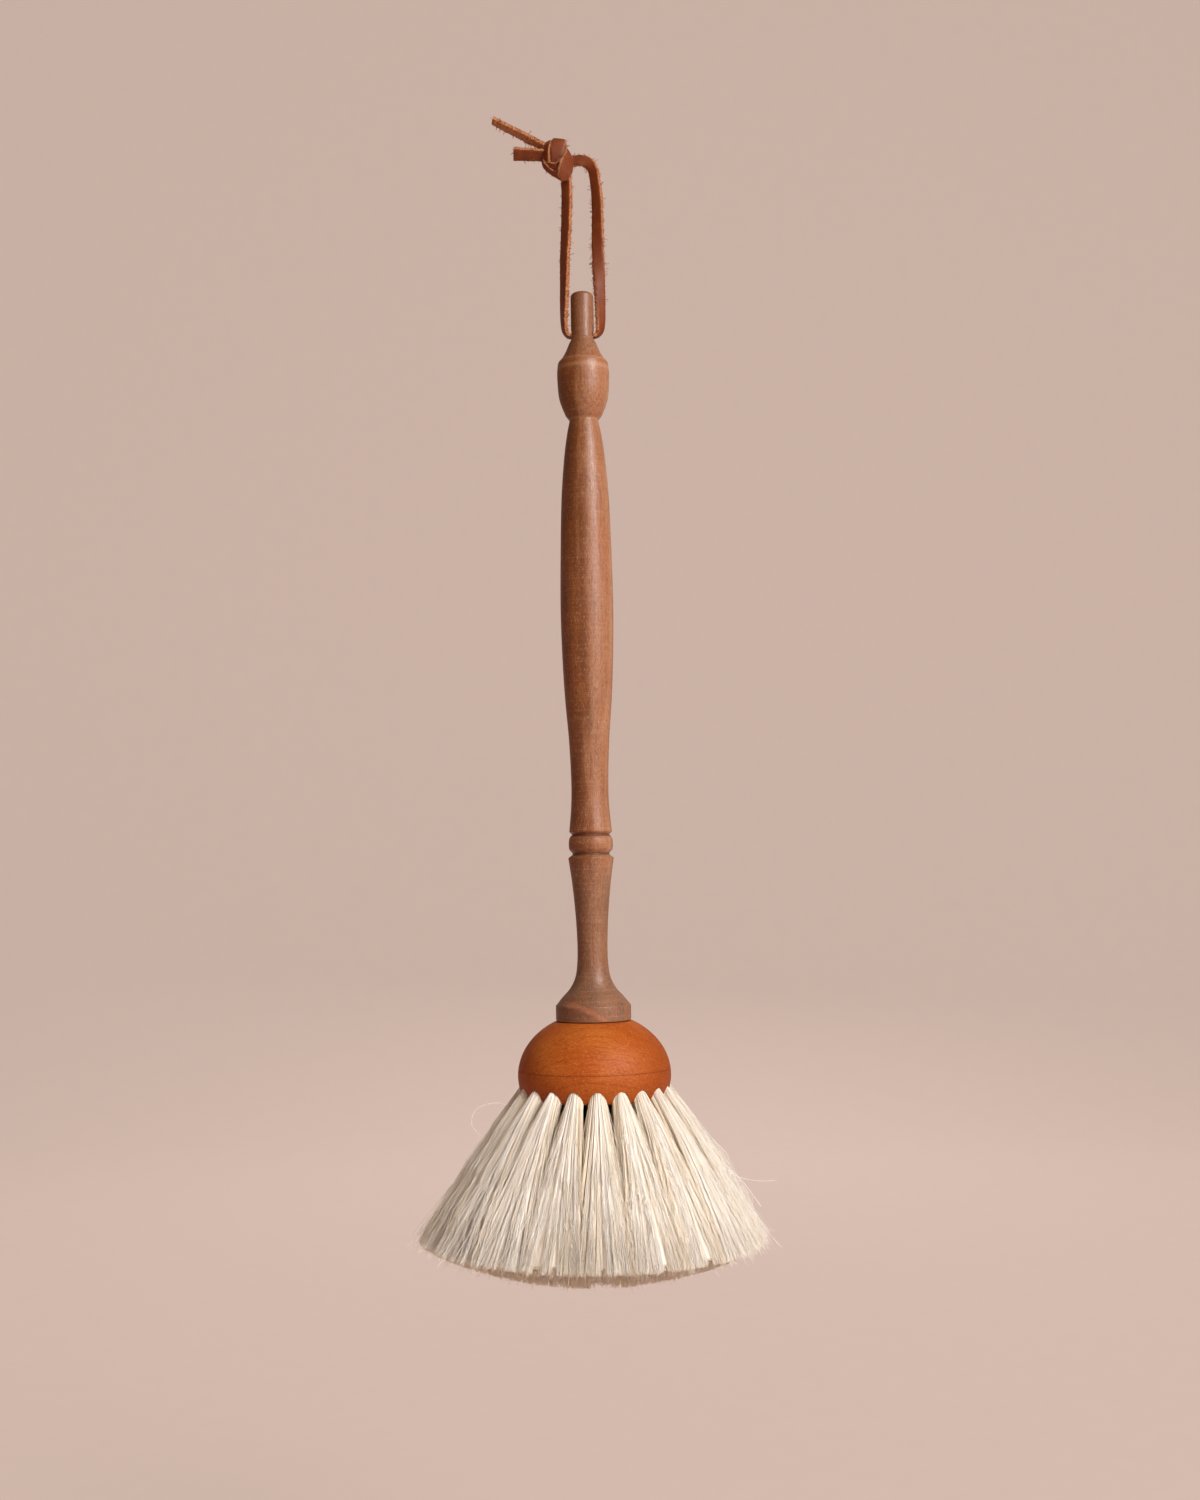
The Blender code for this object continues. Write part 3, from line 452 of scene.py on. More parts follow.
class Nodes:
    """A node tree under construction."""

    def __init__(self, tree):
        self.tree = tree

    def add(self, kind, settings=None, sockets=None, out=0):
        """A node of that kind, with its settings made first and then its sockets given values or links."""
        node = self.tree.nodes.new(kind)
        for name, value in (settings or {}).items():
            setattr(node, name, value)
        for key, value in (sockets or {}).items():
            socket = node.inputs[key]
            if isinstance(value, Value):
                self.tree.links.new(value.socket, socket)
            elif socket.type == "VECTOR" and isinstance(value, (int, float)):
                socket.default_value = (value, value, value)
            elif socket.type == "RGBA":
                socket.default_value = (*tuple(value)[:3], 1.0)
            else:
                socket.default_value = value
        return Value(self, node.outputs[out]) if len(node.outputs) else None

    def maths(self, operation, *values, out=0):
        """A Math node, or a Vector Math node where one of the values is a vector or a colour."""
        vector = any(isinstance(v, Value) and v.socket.type in ("VECTOR", "RGBA") for v in values)
        kind = "ShaderNodeVectorMath" if vector else "ShaderNodeMath"
        return self.add(kind, {"operation": operation}, dict(enumerate(values)), out)

    def mix(self, share, first, second, blend="MIX"):
        """Two colours, mixed or multiplied by a share."""
        return self.add(
            "ShaderNodeMix", {"data_type": "RGBA", "blend_type": blend}, {0: share, 6: first, 7: second},
            out=2,
        )

    def lay(self, colour, *tones, blend="MIX"):
        """A colour with (share, tone) pairs laid over it in turn."""
        for share, tone in tones:
            colour = self.mix(share, colour, tone, blend)
        return colour

    def noise(self, place, scale, detail=2.0, roughness=0.5, distortion=0.0, out=0):
        """Smooth noise from 0 to 1, with a scale for each axis in features per metre."""
        return self.add(
            "ShaderNodeTexNoise", {"noise_dimensions": "3D"},
            {"Vector": place * scale, "Scale": 1.0, "Detail": detail, "Roughness": roughness,
             "Distortion": distortion},
            out,
        )

    def cells(self, place, scale, feature):
        """Distances in a pattern of irregular cells."""
        return self.add("ShaderNodeTexVoronoi", {"feature": feature}, {"Vector": place, "Scale": scale})

    def stored(self, name):
        """A number that the mesh carries at each point."""
        return self.add("ShaderNodeAttribute", {"attribute_name": name}, out="Fac")

    def rise(self, value, low, high):
        """0 below low, 1 above high, and smooth between them."""
        return self.add(
            "ShaderNodeMapRange", {"interpolation_type": "SMOOTHSTEP"},
            {"Value": value, "From Min": low, "From Max": high},
        )

    def rise_either_way(self, value, low, high):
        """The rise of a value's distance from 0; with low above high it marks a band round 0."""
        return self.rise(self.maths("ABSOLUTE", value), low, high)

    def vector(self, x, y, z):
        return self.add("ShaderNodeCombineXYZ", {}, {0: x, 1: y, 2: z})

    def split(self, vector):
        """The three numbers of a vector."""
        x = self.add("ShaderNodeSeparateXYZ", {}, {0: vector})
        return x, x.out(1), x.out(2)


class ShapeTree(Nodes):
    """A Geometry Nodes tree with named inputs, which ends in Realize Instances and Set Material."""

    def __init__(self, name):
        super().__init__(bpy.data.node_groups.new(name, "GeometryNodeTree"))
        self.tree.interface.new_socket("Geometry", in_out="INPUT", socket_type="NodeSocketGeometry")
        self.tree.interface.new_socket("Geometry", in_out="OUTPUT", socket_type="NodeSocketGeometry")
        self.entry = self.tree.nodes.new("NodeGroupInput")

    def given(self, name, kind="Float"):
        """A named input of the tree."""
        if name != "Geometry":
            self.tree.interface.new_socket(name, in_out="INPUT", socket_type="NodeSocket" + kind)
        return Value(self, self.entry.outputs[name])

    def random(self, number, seed, low=0.0, high=1.0):
        """A random value for each number."""
        return self.add(
            "FunctionNodeRandomValue", {"data_type": "FLOAT"}, {2: low, 3: high, 7: number, 8: seed}, out=1
        )

    def store(self, geometry, **values):
        """Keeps a number under each name at the points of a geometry."""
        for name, value in values.items():
            geometry = self.add(
                "GeometryNodeStoreNamedAttribute", {"data_type": "FLOAT", "domain": "POINT"},
                {"Geometry": geometry, "Name": name, "Value": value},
            )
        return geometry

    def stored(self, name):
        return self.add("GeometryNodeInputNamedAttribute", {"data_type": "FLOAT"}, {"Name": name})

    def threads(self, curves, radius):
        """Closed threads along curves, with three sides because they are as thin as hair."""
        section = self.add(
            "GeometryNodeCurvePrimitiveCircle", {"mode": "RADIUS"}, {"Resolution": 3, "Radius": 1.0}
        )
        return self.add(
            "GeometryNodeCurveToMesh", {},
            {"Curve": curves, "Profile Curve": section, "Scale": radius, "Fill Caps": True},
        )

    def finish(self, geometry):
        material = self.given("Material", "Material")
        geometry = self.add("GeometryNodeRealizeInstances", {}, {0: geometry})
        geometry = self.add("GeometryNodeSetMaterial", {}, {"Geometry": geometry, "Material": material})
        self.add("NodeGroupOutput", {}, {0: geometry})
        return self.tree


def placed(name, data):
    """A new object in the scene."""
    item = bpy.data.objects.new(name, data)
    bpy.context.scene.collection.objects.link(item)
    return item


def shaped(name, mesh, tree, inputs):
    """An object whose mesh is what a Geometry Nodes tree makes of the given one."""
    item = placed(name, mesh)
    change = item.modifiers.new("Shape", "NODES")
    change.node_group = tree
    for socket in tree.interface.items_tree:
        if socket.in_out == "INPUT" and socket.name in inputs:
            change[socket.identifier] = inputs[socket.name]
    return settle(item)


def settle(item):
    """Turns an object's modifiers into a plain mesh."""
    graph = bpy.context.evaluated_depsgraph_get()
    made = bpy.data.meshes.new_from_object(
        item.evaluated_get(graph), preserve_all_data_layers=True, depsgraph=graph
    )
    item.modifiers.clear()
    item.data = made
    made.name = item.name
    return item


def outward(item, sharp=SHARP_WOOD, merge=MERGE_DISTANCE):
    """Merges doubles, unless merge is 0, points a closed shape's faces outwards and marks sharp edges."""
    bm = bmesh.new()
    bm.from_mesh(item.data)
    if merge:
        bmesh.ops.remove_doubles(bm, verts=bm.verts, dist=merge)
    bmesh.ops.recalc_face_normals(bm, faces=bm.faces)
    bm.to_mesh(item.data)
    bm.free()
    item.data.shade_smooth()
    item.data.set_sharp_from_angle(angle=sharp)
    return item


def coat(item, material):
    """Gives a piece one finish all over."""
    item.data.materials.clear()
    item.data.materials.append(material)


def dress(item, body, nodes=(), material=None):
    """Makes a piece ride on its body, take its finish's slot and stand for CAD nodes."""
    if material is not None:
        coat(item, material)
    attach(item, body)
    if nodes:
        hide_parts(*nodes)
    return item


def start_finish(name):
    """An empty material, its nodes and the place of each point on the piece."""
    material = bpy.data.materials.new(name)
    material.use_nodes = True
    material.node_tree.nodes.clear()
    nodes = Nodes(material.node_tree)
    return material, nodes, nodes.add("ShaderNodeTexCoord", out="Object")


def end_finish(nodes, sockets, height=None, relief=0.0001, strength=1.0):
    """Closes a material with its shader; height is what a relief of that many metres is made from."""
    if height is not None:
        sockets["Normal"] = nodes.add(
            "ShaderNodeBump", {}, {"Strength": strength, "Distance": relief, "Height": height}
        )
    shader = nodes.add("ShaderNodeBsdfPrincipled", {}, sockets)
    nodes.add("ShaderNodeOutputMaterial", {}, {"Surface": shader})


def pearwood_finish(settings):
    """Oiled pearwood: long streaks and fibres along the handle, fine flecks and the rings of turning.
    Painted shade darkens and warms its left side and its neck, and painted light brightens its right side.
    """
    material, nodes, place = start_finish("pearwood")
    rise = nodes.rise
    x, y, z = nodes.split(place)
    streaks = nodes.noise(place, (125, 125, 3.2), 3.0, 0.55, 0.4)
    fibres = nodes.noise(place, (1200, 1200, 60), 3.0, 0.65)
    flecks = nodes.noise(place, (1900, 1900, 620), 3.0, 0.7)
    turning = nodes.noise(nodes.vector(x * 0.02, y * 0.02, z), (2400, 2400, 2400), 2.0, 0.6)
    patches = nodes.noise(place, (90, 90, 34), 3.0, 0.55)
    # The red streaks lean to the left as painted shade on that side, and the pale ones lean to the right as
    # painted light.
    red_streaks_and_left_shade = rise(streaks - x * 42.0 + (patches - 0.5) * 0.6, 0.36, 0.66)
    pale = rise(streaks + x * 8.0 + (patches - 0.5) * 0.5 + (fibres - 0.5) * 0.35, 0.46, 0.70)
    ashen = rise(streaks + (patches - 0.5) * 0.4 + (fibres - 0.5) * 0.3, 0.40, 0.62)
    colour = nodes.lay(
        settings.wood,
        (pale, settings.bloom),
        (red_streaks_and_left_shade * 0.9, settings.heart),
        (rise(patches, 0.50, 0.66) * 0.55, (0.29, 0.085, 0.020)),
        # Painted shade: the neck is darker all round.
        (rise(z, *NECK_PAINTED_SHADE_Z) * 0.45, (0.19, 0.078, 0.038)),
        (rise(z, *ASHEN_TONE_Z) * (0.50 + ashen * 0.45), (0.180, 0.090, 0.052)),
        (rise(fibres, 0.49, 0.64) * 0.55, (0.165, 0.050, 0.017)),
        (rise(flecks, 0.54, 0.66) * 0.6, (0.14, 0.042, 0.015)),
        (rise(flecks, 0.46, 0.34) * 0.38, (0.54, 0.29, 0.17)),
        (rise(turning, 0.52, 0.68) * 0.12, (0.56, 0.33, 0.21)),
        (rise(turning, 0.46, 0.32) * 0.14, (0.20, 0.07, 0.03)),
    )
    for down, spread, share, tone in HANDLE_RING_TONES:
        ring = nodes.rise_either_way(z - (HANDLE_TOP_Z - down), spread, spread * 0.2)
        colour = nodes.mix(ring * share, colour, tone)
    across = x - FIGURE_X
    figure = z - FIGURE_Z + across * across * 22.0 + (patches - 0.5) * 0.003
    figure = nodes.rise_either_way(figure, 0.0024, 0.0002) * rise(x, -0.0135, -0.0105) * rise(y, 0.0, -0.004)
    grip = rise(z, *GRIP_PAINTED_LIGHT_Z)
    upper = rise(z, *UPPER_PAINTED_SHADE_Z)
    colour = nodes.lay(
        colour,
        (figure * fibres * 0.6, (0.56, 0.19, 0.085)),
        # Painted light: the right side is paler and yellower from the grip up.
        (rise(x, 0.005, 0.010) * grip * 0.08, (0.50, 0.27, 0.17)),
    )
    # Painted shade: from the grip up, all but the right edge is darker, more so higher up, and the upper
    # left is darker and warmer.
    colour = nodes.lay(
        colour,
        (rise(x, 0.0075, 0.001) * grip * (0.65 + upper * 0.35), (0.87, 0.88, 0.87)),
        (rise(x, 0.0, -0.0045) * upper, (0.92, 0.84, 0.60)),
        blend="MULTIPLY",
    )
    end_finish(nodes, {
        "Base Color": colour,
        "Roughness": settings.roughness + (flecks - 0.5) * 0.25 + (turning - 0.5) * 0.2,
        "Specular IOR Level": 0.38,
    }, flecks * 0.45 + turning * 0.35 + fibres * 0.4, 0.00007, 0.9)
    return material


def stained_wood_finish(settings):
    """Stained and varnished wood with its grain along X: growth lines lie level round the head. Painted
    shade darkens it towards its underside and at its left and right sides.
    """
    material, nodes, place = start_finish("stained_wood")
    rise = nodes.rise
    x, y, z = nodes.split(place)
    drift = nodes.noise(place, (14, 30, 30), 2.0, 0.5)
    bent = nodes.vector(x, y, z + x * x * 7.0 + (drift - 0.5) * 0.008)
    level = nodes.split(bent)[2] * 460.0 + y * 70.0
    lines = nodes.noise(nodes.vector(0.0, 0.0, level), (1, 1, 1), 3.0, 0.65)
    fibres = nodes.noise(bent, (55, 900, 900), 3.0, 0.6)
    clouds = nodes.noise(place, (38, 60, 60), 2.0, 0.5)
    flecks = nodes.noise(bent, (700, 2400, 2400), 2.0, 0.5)
    seam = nodes.rise_either_way(z - SEAM_Z, 0.0006, 0.0001)
    colour = nodes.lay(
        settings.stain,
        (rise(clouds, 0.35, 0.70) * 0.6, (0.52, 0.145, 0.022)),
        (rise(lines, 0.50, 0.66) * 0.5, settings.growth),
        (rise(fibres, 0.48, 0.68) * 0.40, settings.growth),
        # Painted shade: darker below the seam, towards the underside.
        (rise(z, SEAM_Z + 0.008, SEAM_Z - 0.012) * 0.60, (0.27, 0.041, 0.002)),
        # Painted shade: darker at the left and right sides, as seen from the front.
        (nodes.rise_either_way(x + 0.004, 0.016, 0.036) * 0.68, (0.245, 0.036, 0.002)),
        (seam * (0.05 + clouds * 0.5), (0.18, 0.030, 0.004)),
        (rise(flecks, 0.56, 0.68) * 0.45, (0.19, 0.032, 0.003)),
        (rise(flecks, 0.44, 0.34) * 0.42, (0.60, 0.20, 0.045)),
    )
    end_finish(nodes, {
        "Base Color": colour,
        "Roughness": settings.roughness + (fibres - 0.5) * 0.20,
        "Specular IOR Level": 0.22,
    }, fibres * 0.6 + flecks * 0.4, 0.00006, 0.8)
    return material


def hair_finish(settings):
    """Goat hair, from white to straw by lock and by strand and as painted warm shade, with painted shade in
    the hollows between its cut ends.
    """
    material, nodes, place = start_finish("goat_hair")
    rise = nodes.rise
    shade = nodes.stored("shade")
    mottle = nodes.noise(place, (600, 600, 130), 2.0, 0.5)
    cut_end = rise(nodes.stored("along"), 1.7, 1.95)
    ends = nodes.cells(place, 2600.0, "F1")
    clumps = nodes.noise(place, 420, 2.0, 0.5)
    colour = nodes.lay(
        settings.cream,
        (rise(shade, 0.45, 0.80), settings.white),
        (rise(shade, 0.34, 0.08) * 0.85, settings.straw),
        (rise(mottle, 0.5, 0.8) * 0.25, settings.straw),
        # Painted shade in the hollows between the cut ends.
        (cut_end * rise(ends, 0.25, 0.60) * 0.8, (0.36, 0.25, 0.15)),
        (cut_end * rise(clumps, 0.45, 0.65) * 0.4, (0.60, 0.44, 0.28)),
    )
    end_finish(nodes, {
        "Base Color": colour,
        "Roughness": 0.50 + (mottle - 0.5) * 0.2,
        "Specular IOR Level": 0.35,
        "Sheen Weight": 0.5,
        "Sheen Roughness": 0.5,
        "Sheen Tint": (1.0, 0.90, 0.78, 1.0),
    }, cut_end * ((1 - ends) * 0.7 + clumps), 0.0006, 0.8)
    return material


def leather_finish(settings):
    """Leather with a fine pebbled grain on its smooth side and pale loose fibres on its raw edges."""
    material, nodes, place = start_finish("leather")
    rise = nodes.rise
    pebbles = nodes.cells(place, 2300.0, "DISTANCE_TO_EDGE")
    clouds = nodes.noise(place, 260, 3.0, 0.6)
    fluff = nodes.noise(place, (1700, 1700, 1100), 3.0, 0.7)
    creases = nodes.noise(place, (900, 900, 180), 2.0, 0.5)
    torn = rise(nodes.stored("raw") + (fluff - 0.5) * 0.7, 0.45, 0.75)
    smooth = nodes.lay(
        settings.grain,
        (rise(clouds, 0.35, 0.70) * 0.6, (0.215, 0.048, 0.008)),
        (rise(creases, 0.55, 0.75) * 0.35, (0.085, 0.016, 0.002)),
    )
    rough = nodes.lay(
        (0.23, 0.075, 0.028),
        (rise(fluff, 0.36, 0.60), settings.raw),
        (rise(fluff, 0.62, 0.78) * 0.8, (0.62, 0.34, 0.18)),
    )
    height = rise(pebbles, 0.0, 0.18) * (1 - torn) * 0.35 + fluff * torn * 1.6
    end_finish(nodes, {
        "Base Color": nodes.mix(torn, smooth, rough),
        "Roughness": settings.roughness + torn * 0.42 + (clouds - 0.5) * 0.12,
        "Specular IOR Level": 0.30,
    }, height, 0.00012, 0.9)
    return material


def wire_finish():
    """Bright drawn steel wire with fine scratches."""
    material, nodes, place = start_finish("drawing_wire")
    scratches = nodes.noise(place, 3000, 2.0, 0.6)
    end_finish(nodes, {
        "Base Color": nodes.mix(scratches, (0.66, 0.64, 0.60), (0.80, 0.78, 0.74)),
        "Roughness": 0.22 + scratches * 0.2,
        "Metallic": 1.0,
    })
    return material


def background_rays(nodes):
    """1 for what the camera sees, and a little of that for reflections and what shows through glass."""
    path = nodes.add("ShaderNodeLightPath", out="Is Camera Ray")
    return nodes.maths("MAXIMUM", path, (path.out("Is Glossy Ray") + path.out("Is Transmission Ray")) * 0.2)


def stage_finish(colour, paleness):
    """Plain matt paper for the floor and the backdrop, which looks evenly pale and still takes a shadow."""
    material, nodes, place = start_finish("backdrop_paper")
    tint = nodes.mix(nodes.noise(place, 40, 2.0, 0.5), colour, [c * 0.97 for c in colour])
    paper = nodes.add("ShaderNodeBsdfDiffuse", {}, {"Color": tint, "Roughness": 0.0})
    pale = nodes.add("ShaderNodeEmission", {}, {"Color": tint, "Strength": 1.0})
    surface = nodes.add("ShaderNodeMixShader", {}, {0: background_rays(nodes) * paleness, 1: paper, 2: pale})
    nodes.add("ShaderNodeOutputMaterial", {}, {"Surface": surface})
    return material


def smooth_route(stations, steps):
    """Points on a Catmull-Rom curve through the stations; every value of a station is carried along."""
    padded = [
        [2 * a - b for a, b in zip(stations[0], stations[1])],
        *stations,
        [2 * a - b for a, b in zip(stations[-1], stations[-2])],
    ]
    route = []
    for before, start, end, after in zip(padded, padded[1:], padded[2:], padded[3:]):
        for step in range(steps):
            t = step / steps
            route.append([
                b + ((c - a) * t + (2 * a - 5 * b + 4 * c - d) * t**2 + (3 * b - a - 3 * c + d) * t**3) / 2
                for a, b, c, d in zip(before, start, end, after)
            ])
    route.append(list(stations[-1]))
    return route


def even_route(stations, step):
    """The smooth route again, with its points about one step apart along the line."""
    fine = smooth_route(stations, FINE_STEPS)
    reach = [0.0]
    for a, b in zip(fine, fine[1:]):
        reach.append(reach[-1] + math.dist(a[:3], b[:3]))
    count = max(2, round(reach[-1] / step))
    route, at = [], 0
    for i in range(count + 1):
        wanted = reach[-1] * i / count
        while at < len(reach) - 2 and reach[at + 1] < wanted:
            at += 1
        share = (wanted - reach[at]) / (reach[at + 1] - reach[at])
        route.append([a + (b - a) * share for a, b in zip(fine[at], fine[at + 1])])
    return route


def tangents(points):
    """The direction of travel at each point of a line."""
    steps = [(b - a).normalized() for a, b in zip(points, points[1:])]
    return [steps[0]] + [(a + b).normalized() for a, b in zip(steps, steps[1:])] + [steps[-1]]


def eased(outline, easing):
    """An outline with its sharp corners rounded, each over that distance or less on both sides."""
    line = [Vector(point) for point in outline]
    made = [line[0]]
    for before, corner, after in zip(line, line[1:], line[2:]):
        back, on = before - corner, after - corner
        turn = math.pi - back.angle(on, math.pi)
        if turn < EASED_FROM:
            made.append(corner)
            continue
        start = corner + back.normalized() * min(easing, back.length * EASED_SHARE)
        end = corner + on.normalized() * min(easing, on.length * EASED_SHARE)
        for step in range(EASING_STEPS + 1):
            t = step / EASING_STEPS
            made.append(start * (1 - t) ** 2 + corner * 2 * t * (1 - t) + end * t**2)
    made.append(line[-1])
    return [tuple(point) for point in made]


def lathe_tree():
    """Turns an outline, given as a line of points (radius, 0, z), into a surface round the Z axis."""
    tree = ShapeTree("Turned surface")
    outline = tree.given("Geometry")
    sides = tree.given("Sides", "Int")
    count = tree.add("GeometryNodeAttributeDomainSize", {}, {0: outline}, out="Point Count")
    grid = tree.add("GeometryNodeMeshGrid", {}, {"Vertices X": sides + 1, "Vertices Y": count})
    index = tree.add("GeometryNodeInputIndex")
    column = tree.maths("FLOOR", (index + 0.5) / count)
    row = index - column * count
    place = tree.add(
        "GeometryNodeSampleIndex", {"data_type": "FLOAT_VECTOR", "domain": "POINT"},
        {"Geometry": outline, "Value": tree.add("GeometryNodeInputPosition"), "Index": row},
    )
    radius, _, z = tree.split(place)
    turn = column / sides * math.tau
    turned = tree.vector(radius * tree.maths("COSINE", turn), radius * tree.maths("SINE", turn), z)
    surface = tree.add("GeometryNodeSetPosition", {}, {"Geometry": grid, "Position": turned})
    return tree.finish(tree.add(
        "GeometryNodeMergeByDistance", {}, {"Geometry": surface, "Distance": MERGE_DISTANCE}
    ))


def line_mesh(name, lines):
    """A mesh of lines of points, without faces."""
    points, edges = [], []
    for line in lines:
        edges += [(len(points) + i, len(points) + i + 1) for i in range(len(line) - 1)]
        points += line
    mesh = bpy.data.meshes.new(name)
    mesh.from_pydata(points, edges, [])
    return mesh


def turned_piece(name, outline, sides, material, tree):
    line = line_mesh(name + "_outline", [[(radius, 0, z) for radius, z in outline]])
    return outward(shaped(name, line, tree, {"Sides": sides, "Material": material}))


def cut(item, cutter):
    """Takes one shape out of another."""
    change = item.modifiers.new("Cut", "BOOLEAN")
    change.operation = "DIFFERENCE"
    change.solver = "EXACT"
    change.object = cutter
    settle(item)
    bpy.data.objects.remove(cutter, do_unlink=True)
    return outward(item)


def mesh_object(name, points, faces):
    mesh = bpy.data.meshes.new(name)
    mesh.from_pydata(points, [], faces)
    return placed(name, mesh)


def walls(rings, first=0):
    """Faces between rings of points of the same count, and one over each end."""
    count = len(rings[0])
    faces = []
    for ring in range(len(rings) - 1):
        for i in range(count):
            j = (i + 1) % count
            low, high = first + ring * count, first + (ring + 1) * count
            faces.append((low + i, low + j, high + j, high + i))
    end = first + (len(rings) - 1) * count
    faces.append(tuple(first + i for i in reversed(range(count))))
    faces.append(tuple(end + i for i in range(count)))
    return faces


def handle_outline(easing):
    """(radius, z) down the handle, with its tenon."""
    line = []
    for stretch in HANDLE_STRETCHES:
        curved = len(stretch) > 3 and stretch[0][1] > 0 and stretch[0][1] != COLLAR_RADIUS
        line += smooth_route(stretch, OUTLINE_STEPS) if curved else stretch
    outline = [(radius, HANDLE_TOP_Z - down) for down, radius in line]
    outline += [
        (TENON_RADIUS, TENON_END_Z + TENON_CHAMFER),
        (TENON_RADIUS - TENON_CHAMFER, TENON_END_Z),
        (0.0, TENON_END_Z),
    ]
    return eased(outline, easing)


def hole_cutter():
    """A round bar through the neck. It flares at the surface, so that the hole's rims are eased."""
    rings = []
    for side in (-1, 1):
        for past, wider in (reversed(HOLE_FLARE) if side < 0 else HOLE_FLARE):
            ring = []
            for i in range(HOLE_SIDES):
                turn = math.tau * i / HOLE_SIDES
                rim = math.sqrt(NECK_RADIUS**2 - (HOLE_RADIUS * math.cos(turn)) ** 2)
                radius = HOLE_RADIUS + wider
                ring.append((side * (rim + past), radius * math.cos(turn), HOLE_Z + radius * math.sin(turn)))
            rings.append(ring)
    return mesh_object("hole_cutter", [point for ring in rings for point in ring], walls(rings))


class BRUSH_OT_handle(bpy.types.Operator):
    """Turn the handle and bore the hole for the lace through its neck"""

    bl_idname = "brush.handle"
    bl_label = "Turn the handle"

    def execute(self, context):
        settings = context.scene.dusting_brush.handle
        material = pearwood_finish(settings)
        outline = handle_outline(settings.easing)
        handle = turned_piece("handle_wood", outline, settings.sides, material, lathe_tree())
        dress(cut(handle, outward(hole_cutter())), "brush", ["handle"], material)
        return {"FINISHED"}


def dome_arc(top_z, bottom_z, height, steps):
    """(radius, z) points on the head's ellipsoid between two heights, equally spaced in angle."""
    start, end = (math.asin((z - EQUATOR_Z) / height) for z in (top_z, bottom_z))
    angles = [start + (end - start) * i / steps for i in range(steps + 1)]
    return [(HEAD_RADIUS * math.cos(a), EQUATOR_Z + height * math.sin(a)) for a in angles]


def bore_place(radius, rise, slant, azimuth):
    """A bore's mouth centre, the direction in which its hair leaves, and the tangent of its ring."""
    out = Vector((math.cos(azimuth), math.sin(azimuth), 0))
    mouth = out * radius + UP * (UNDERSIDE_Z + rise)
    return mouth, out * math.sin(slant) - UP * math.cos(slant), UP.cross(out)


def azimuths(count):
    return [FIRST_AZIMUTH + math.tau * i / count for i in range(count)]


def bore_cutter():
    """Stepped round bars in all the bores: wide below, and a narrow one above for the wire."""
    points, faces = [], []
    turns = [math.tau * i / BORE_SIDES for i in range(BORE_SIDES)]
    for _, count, radius, rise, slant, *_ in RINGS:
        for azimuth in azimuths(count):
            mouth, axis, side = bore_place(radius, rise, slant, azimuth)
            outside = axis.cross(side)
            rings = []
            for along, wide in (
                (CUTTER_EXCESS, BORE_RADIUS), (-BORE_DEPTH, BORE_RADIUS), (-BORE_DEPTH, WIRE_HOLE_RADIUS),
                (-BORE_DEPTH - CUTTER_EXCESS, WIRE_HOLE_RADIUS),
            ):
                rings.append([
                    mouth + axis * along + (outside * math.cos(a) + side * math.sin(a)) * wide for a in turns
                ])
            faces += walls(rings, len(points))
            points += [tuple(point) for ring in rings for point in ring]
    return mesh_object("bore_cutter", points, faces)


class BRUSH_OT_head(bpy.types.Operator):
    """Turn the domed cover and the tuft block, and bore the block"""

    bl_idname = "brush.head"
    bl_label = "Turn the head"

    def execute(self, context):
        settings = context.scene.dusting_brush.head
        material = stained_wood_finish(settings)
        tree = lathe_tree()
        bore = TENON_RADIUS + GLUE_GAP
        recess = HEAD_RADIUS - SEAM_RIM
        outline = [(0.0, TENON_END_Z - GLUE_GAP), (bore, TENON_END_Z - GLUE_GAP), (bore, DOME_TOP_Z)]
        outline += dome_arc(DOME_TOP_Z, SEAM_Z, DOME_HEIGHT, DOME_STEPS)
        outline += [(recess, SEAM_Z), (recess, RECESS_ROOF_Z), (0.0, RECESS_ROOF_Z)]
        outline = eased(outline, settings.easing)
        cover = turned_piece("cover_wood", outline, settings.sides, material, tree)
        dress(cover, "brush", ["head_cover"], material)
        outline = [(0.0, BLOCK_TOP_Z), (recess, BLOCK_TOP_Z), (recess, SEAM_Z - SEAM_GAP)]
        outline += dome_arc(SEAM_Z - SEAM_GAP, EQUATOR_Z, DOME_HEIGHT, RIM_STEPS)
        outline += dome_arc(EQUATOR_Z, UNDERSIDE_Z, UNDERSIDE_BULGE, BULGE_STEPS)[1:]
        outline += [(0.0, UNDERSIDE_Z)]
        outline = eased(outline, settings.easing)
        block = turned_piece("block_wood", outline, settings.sides, material, tree)
        dress(cut(block, outward(bore_cutter())), "brush", ["tuft_block"], material)
        coat(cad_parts["drawing_wire"], wire_finish())
        return {"FINISHED"}


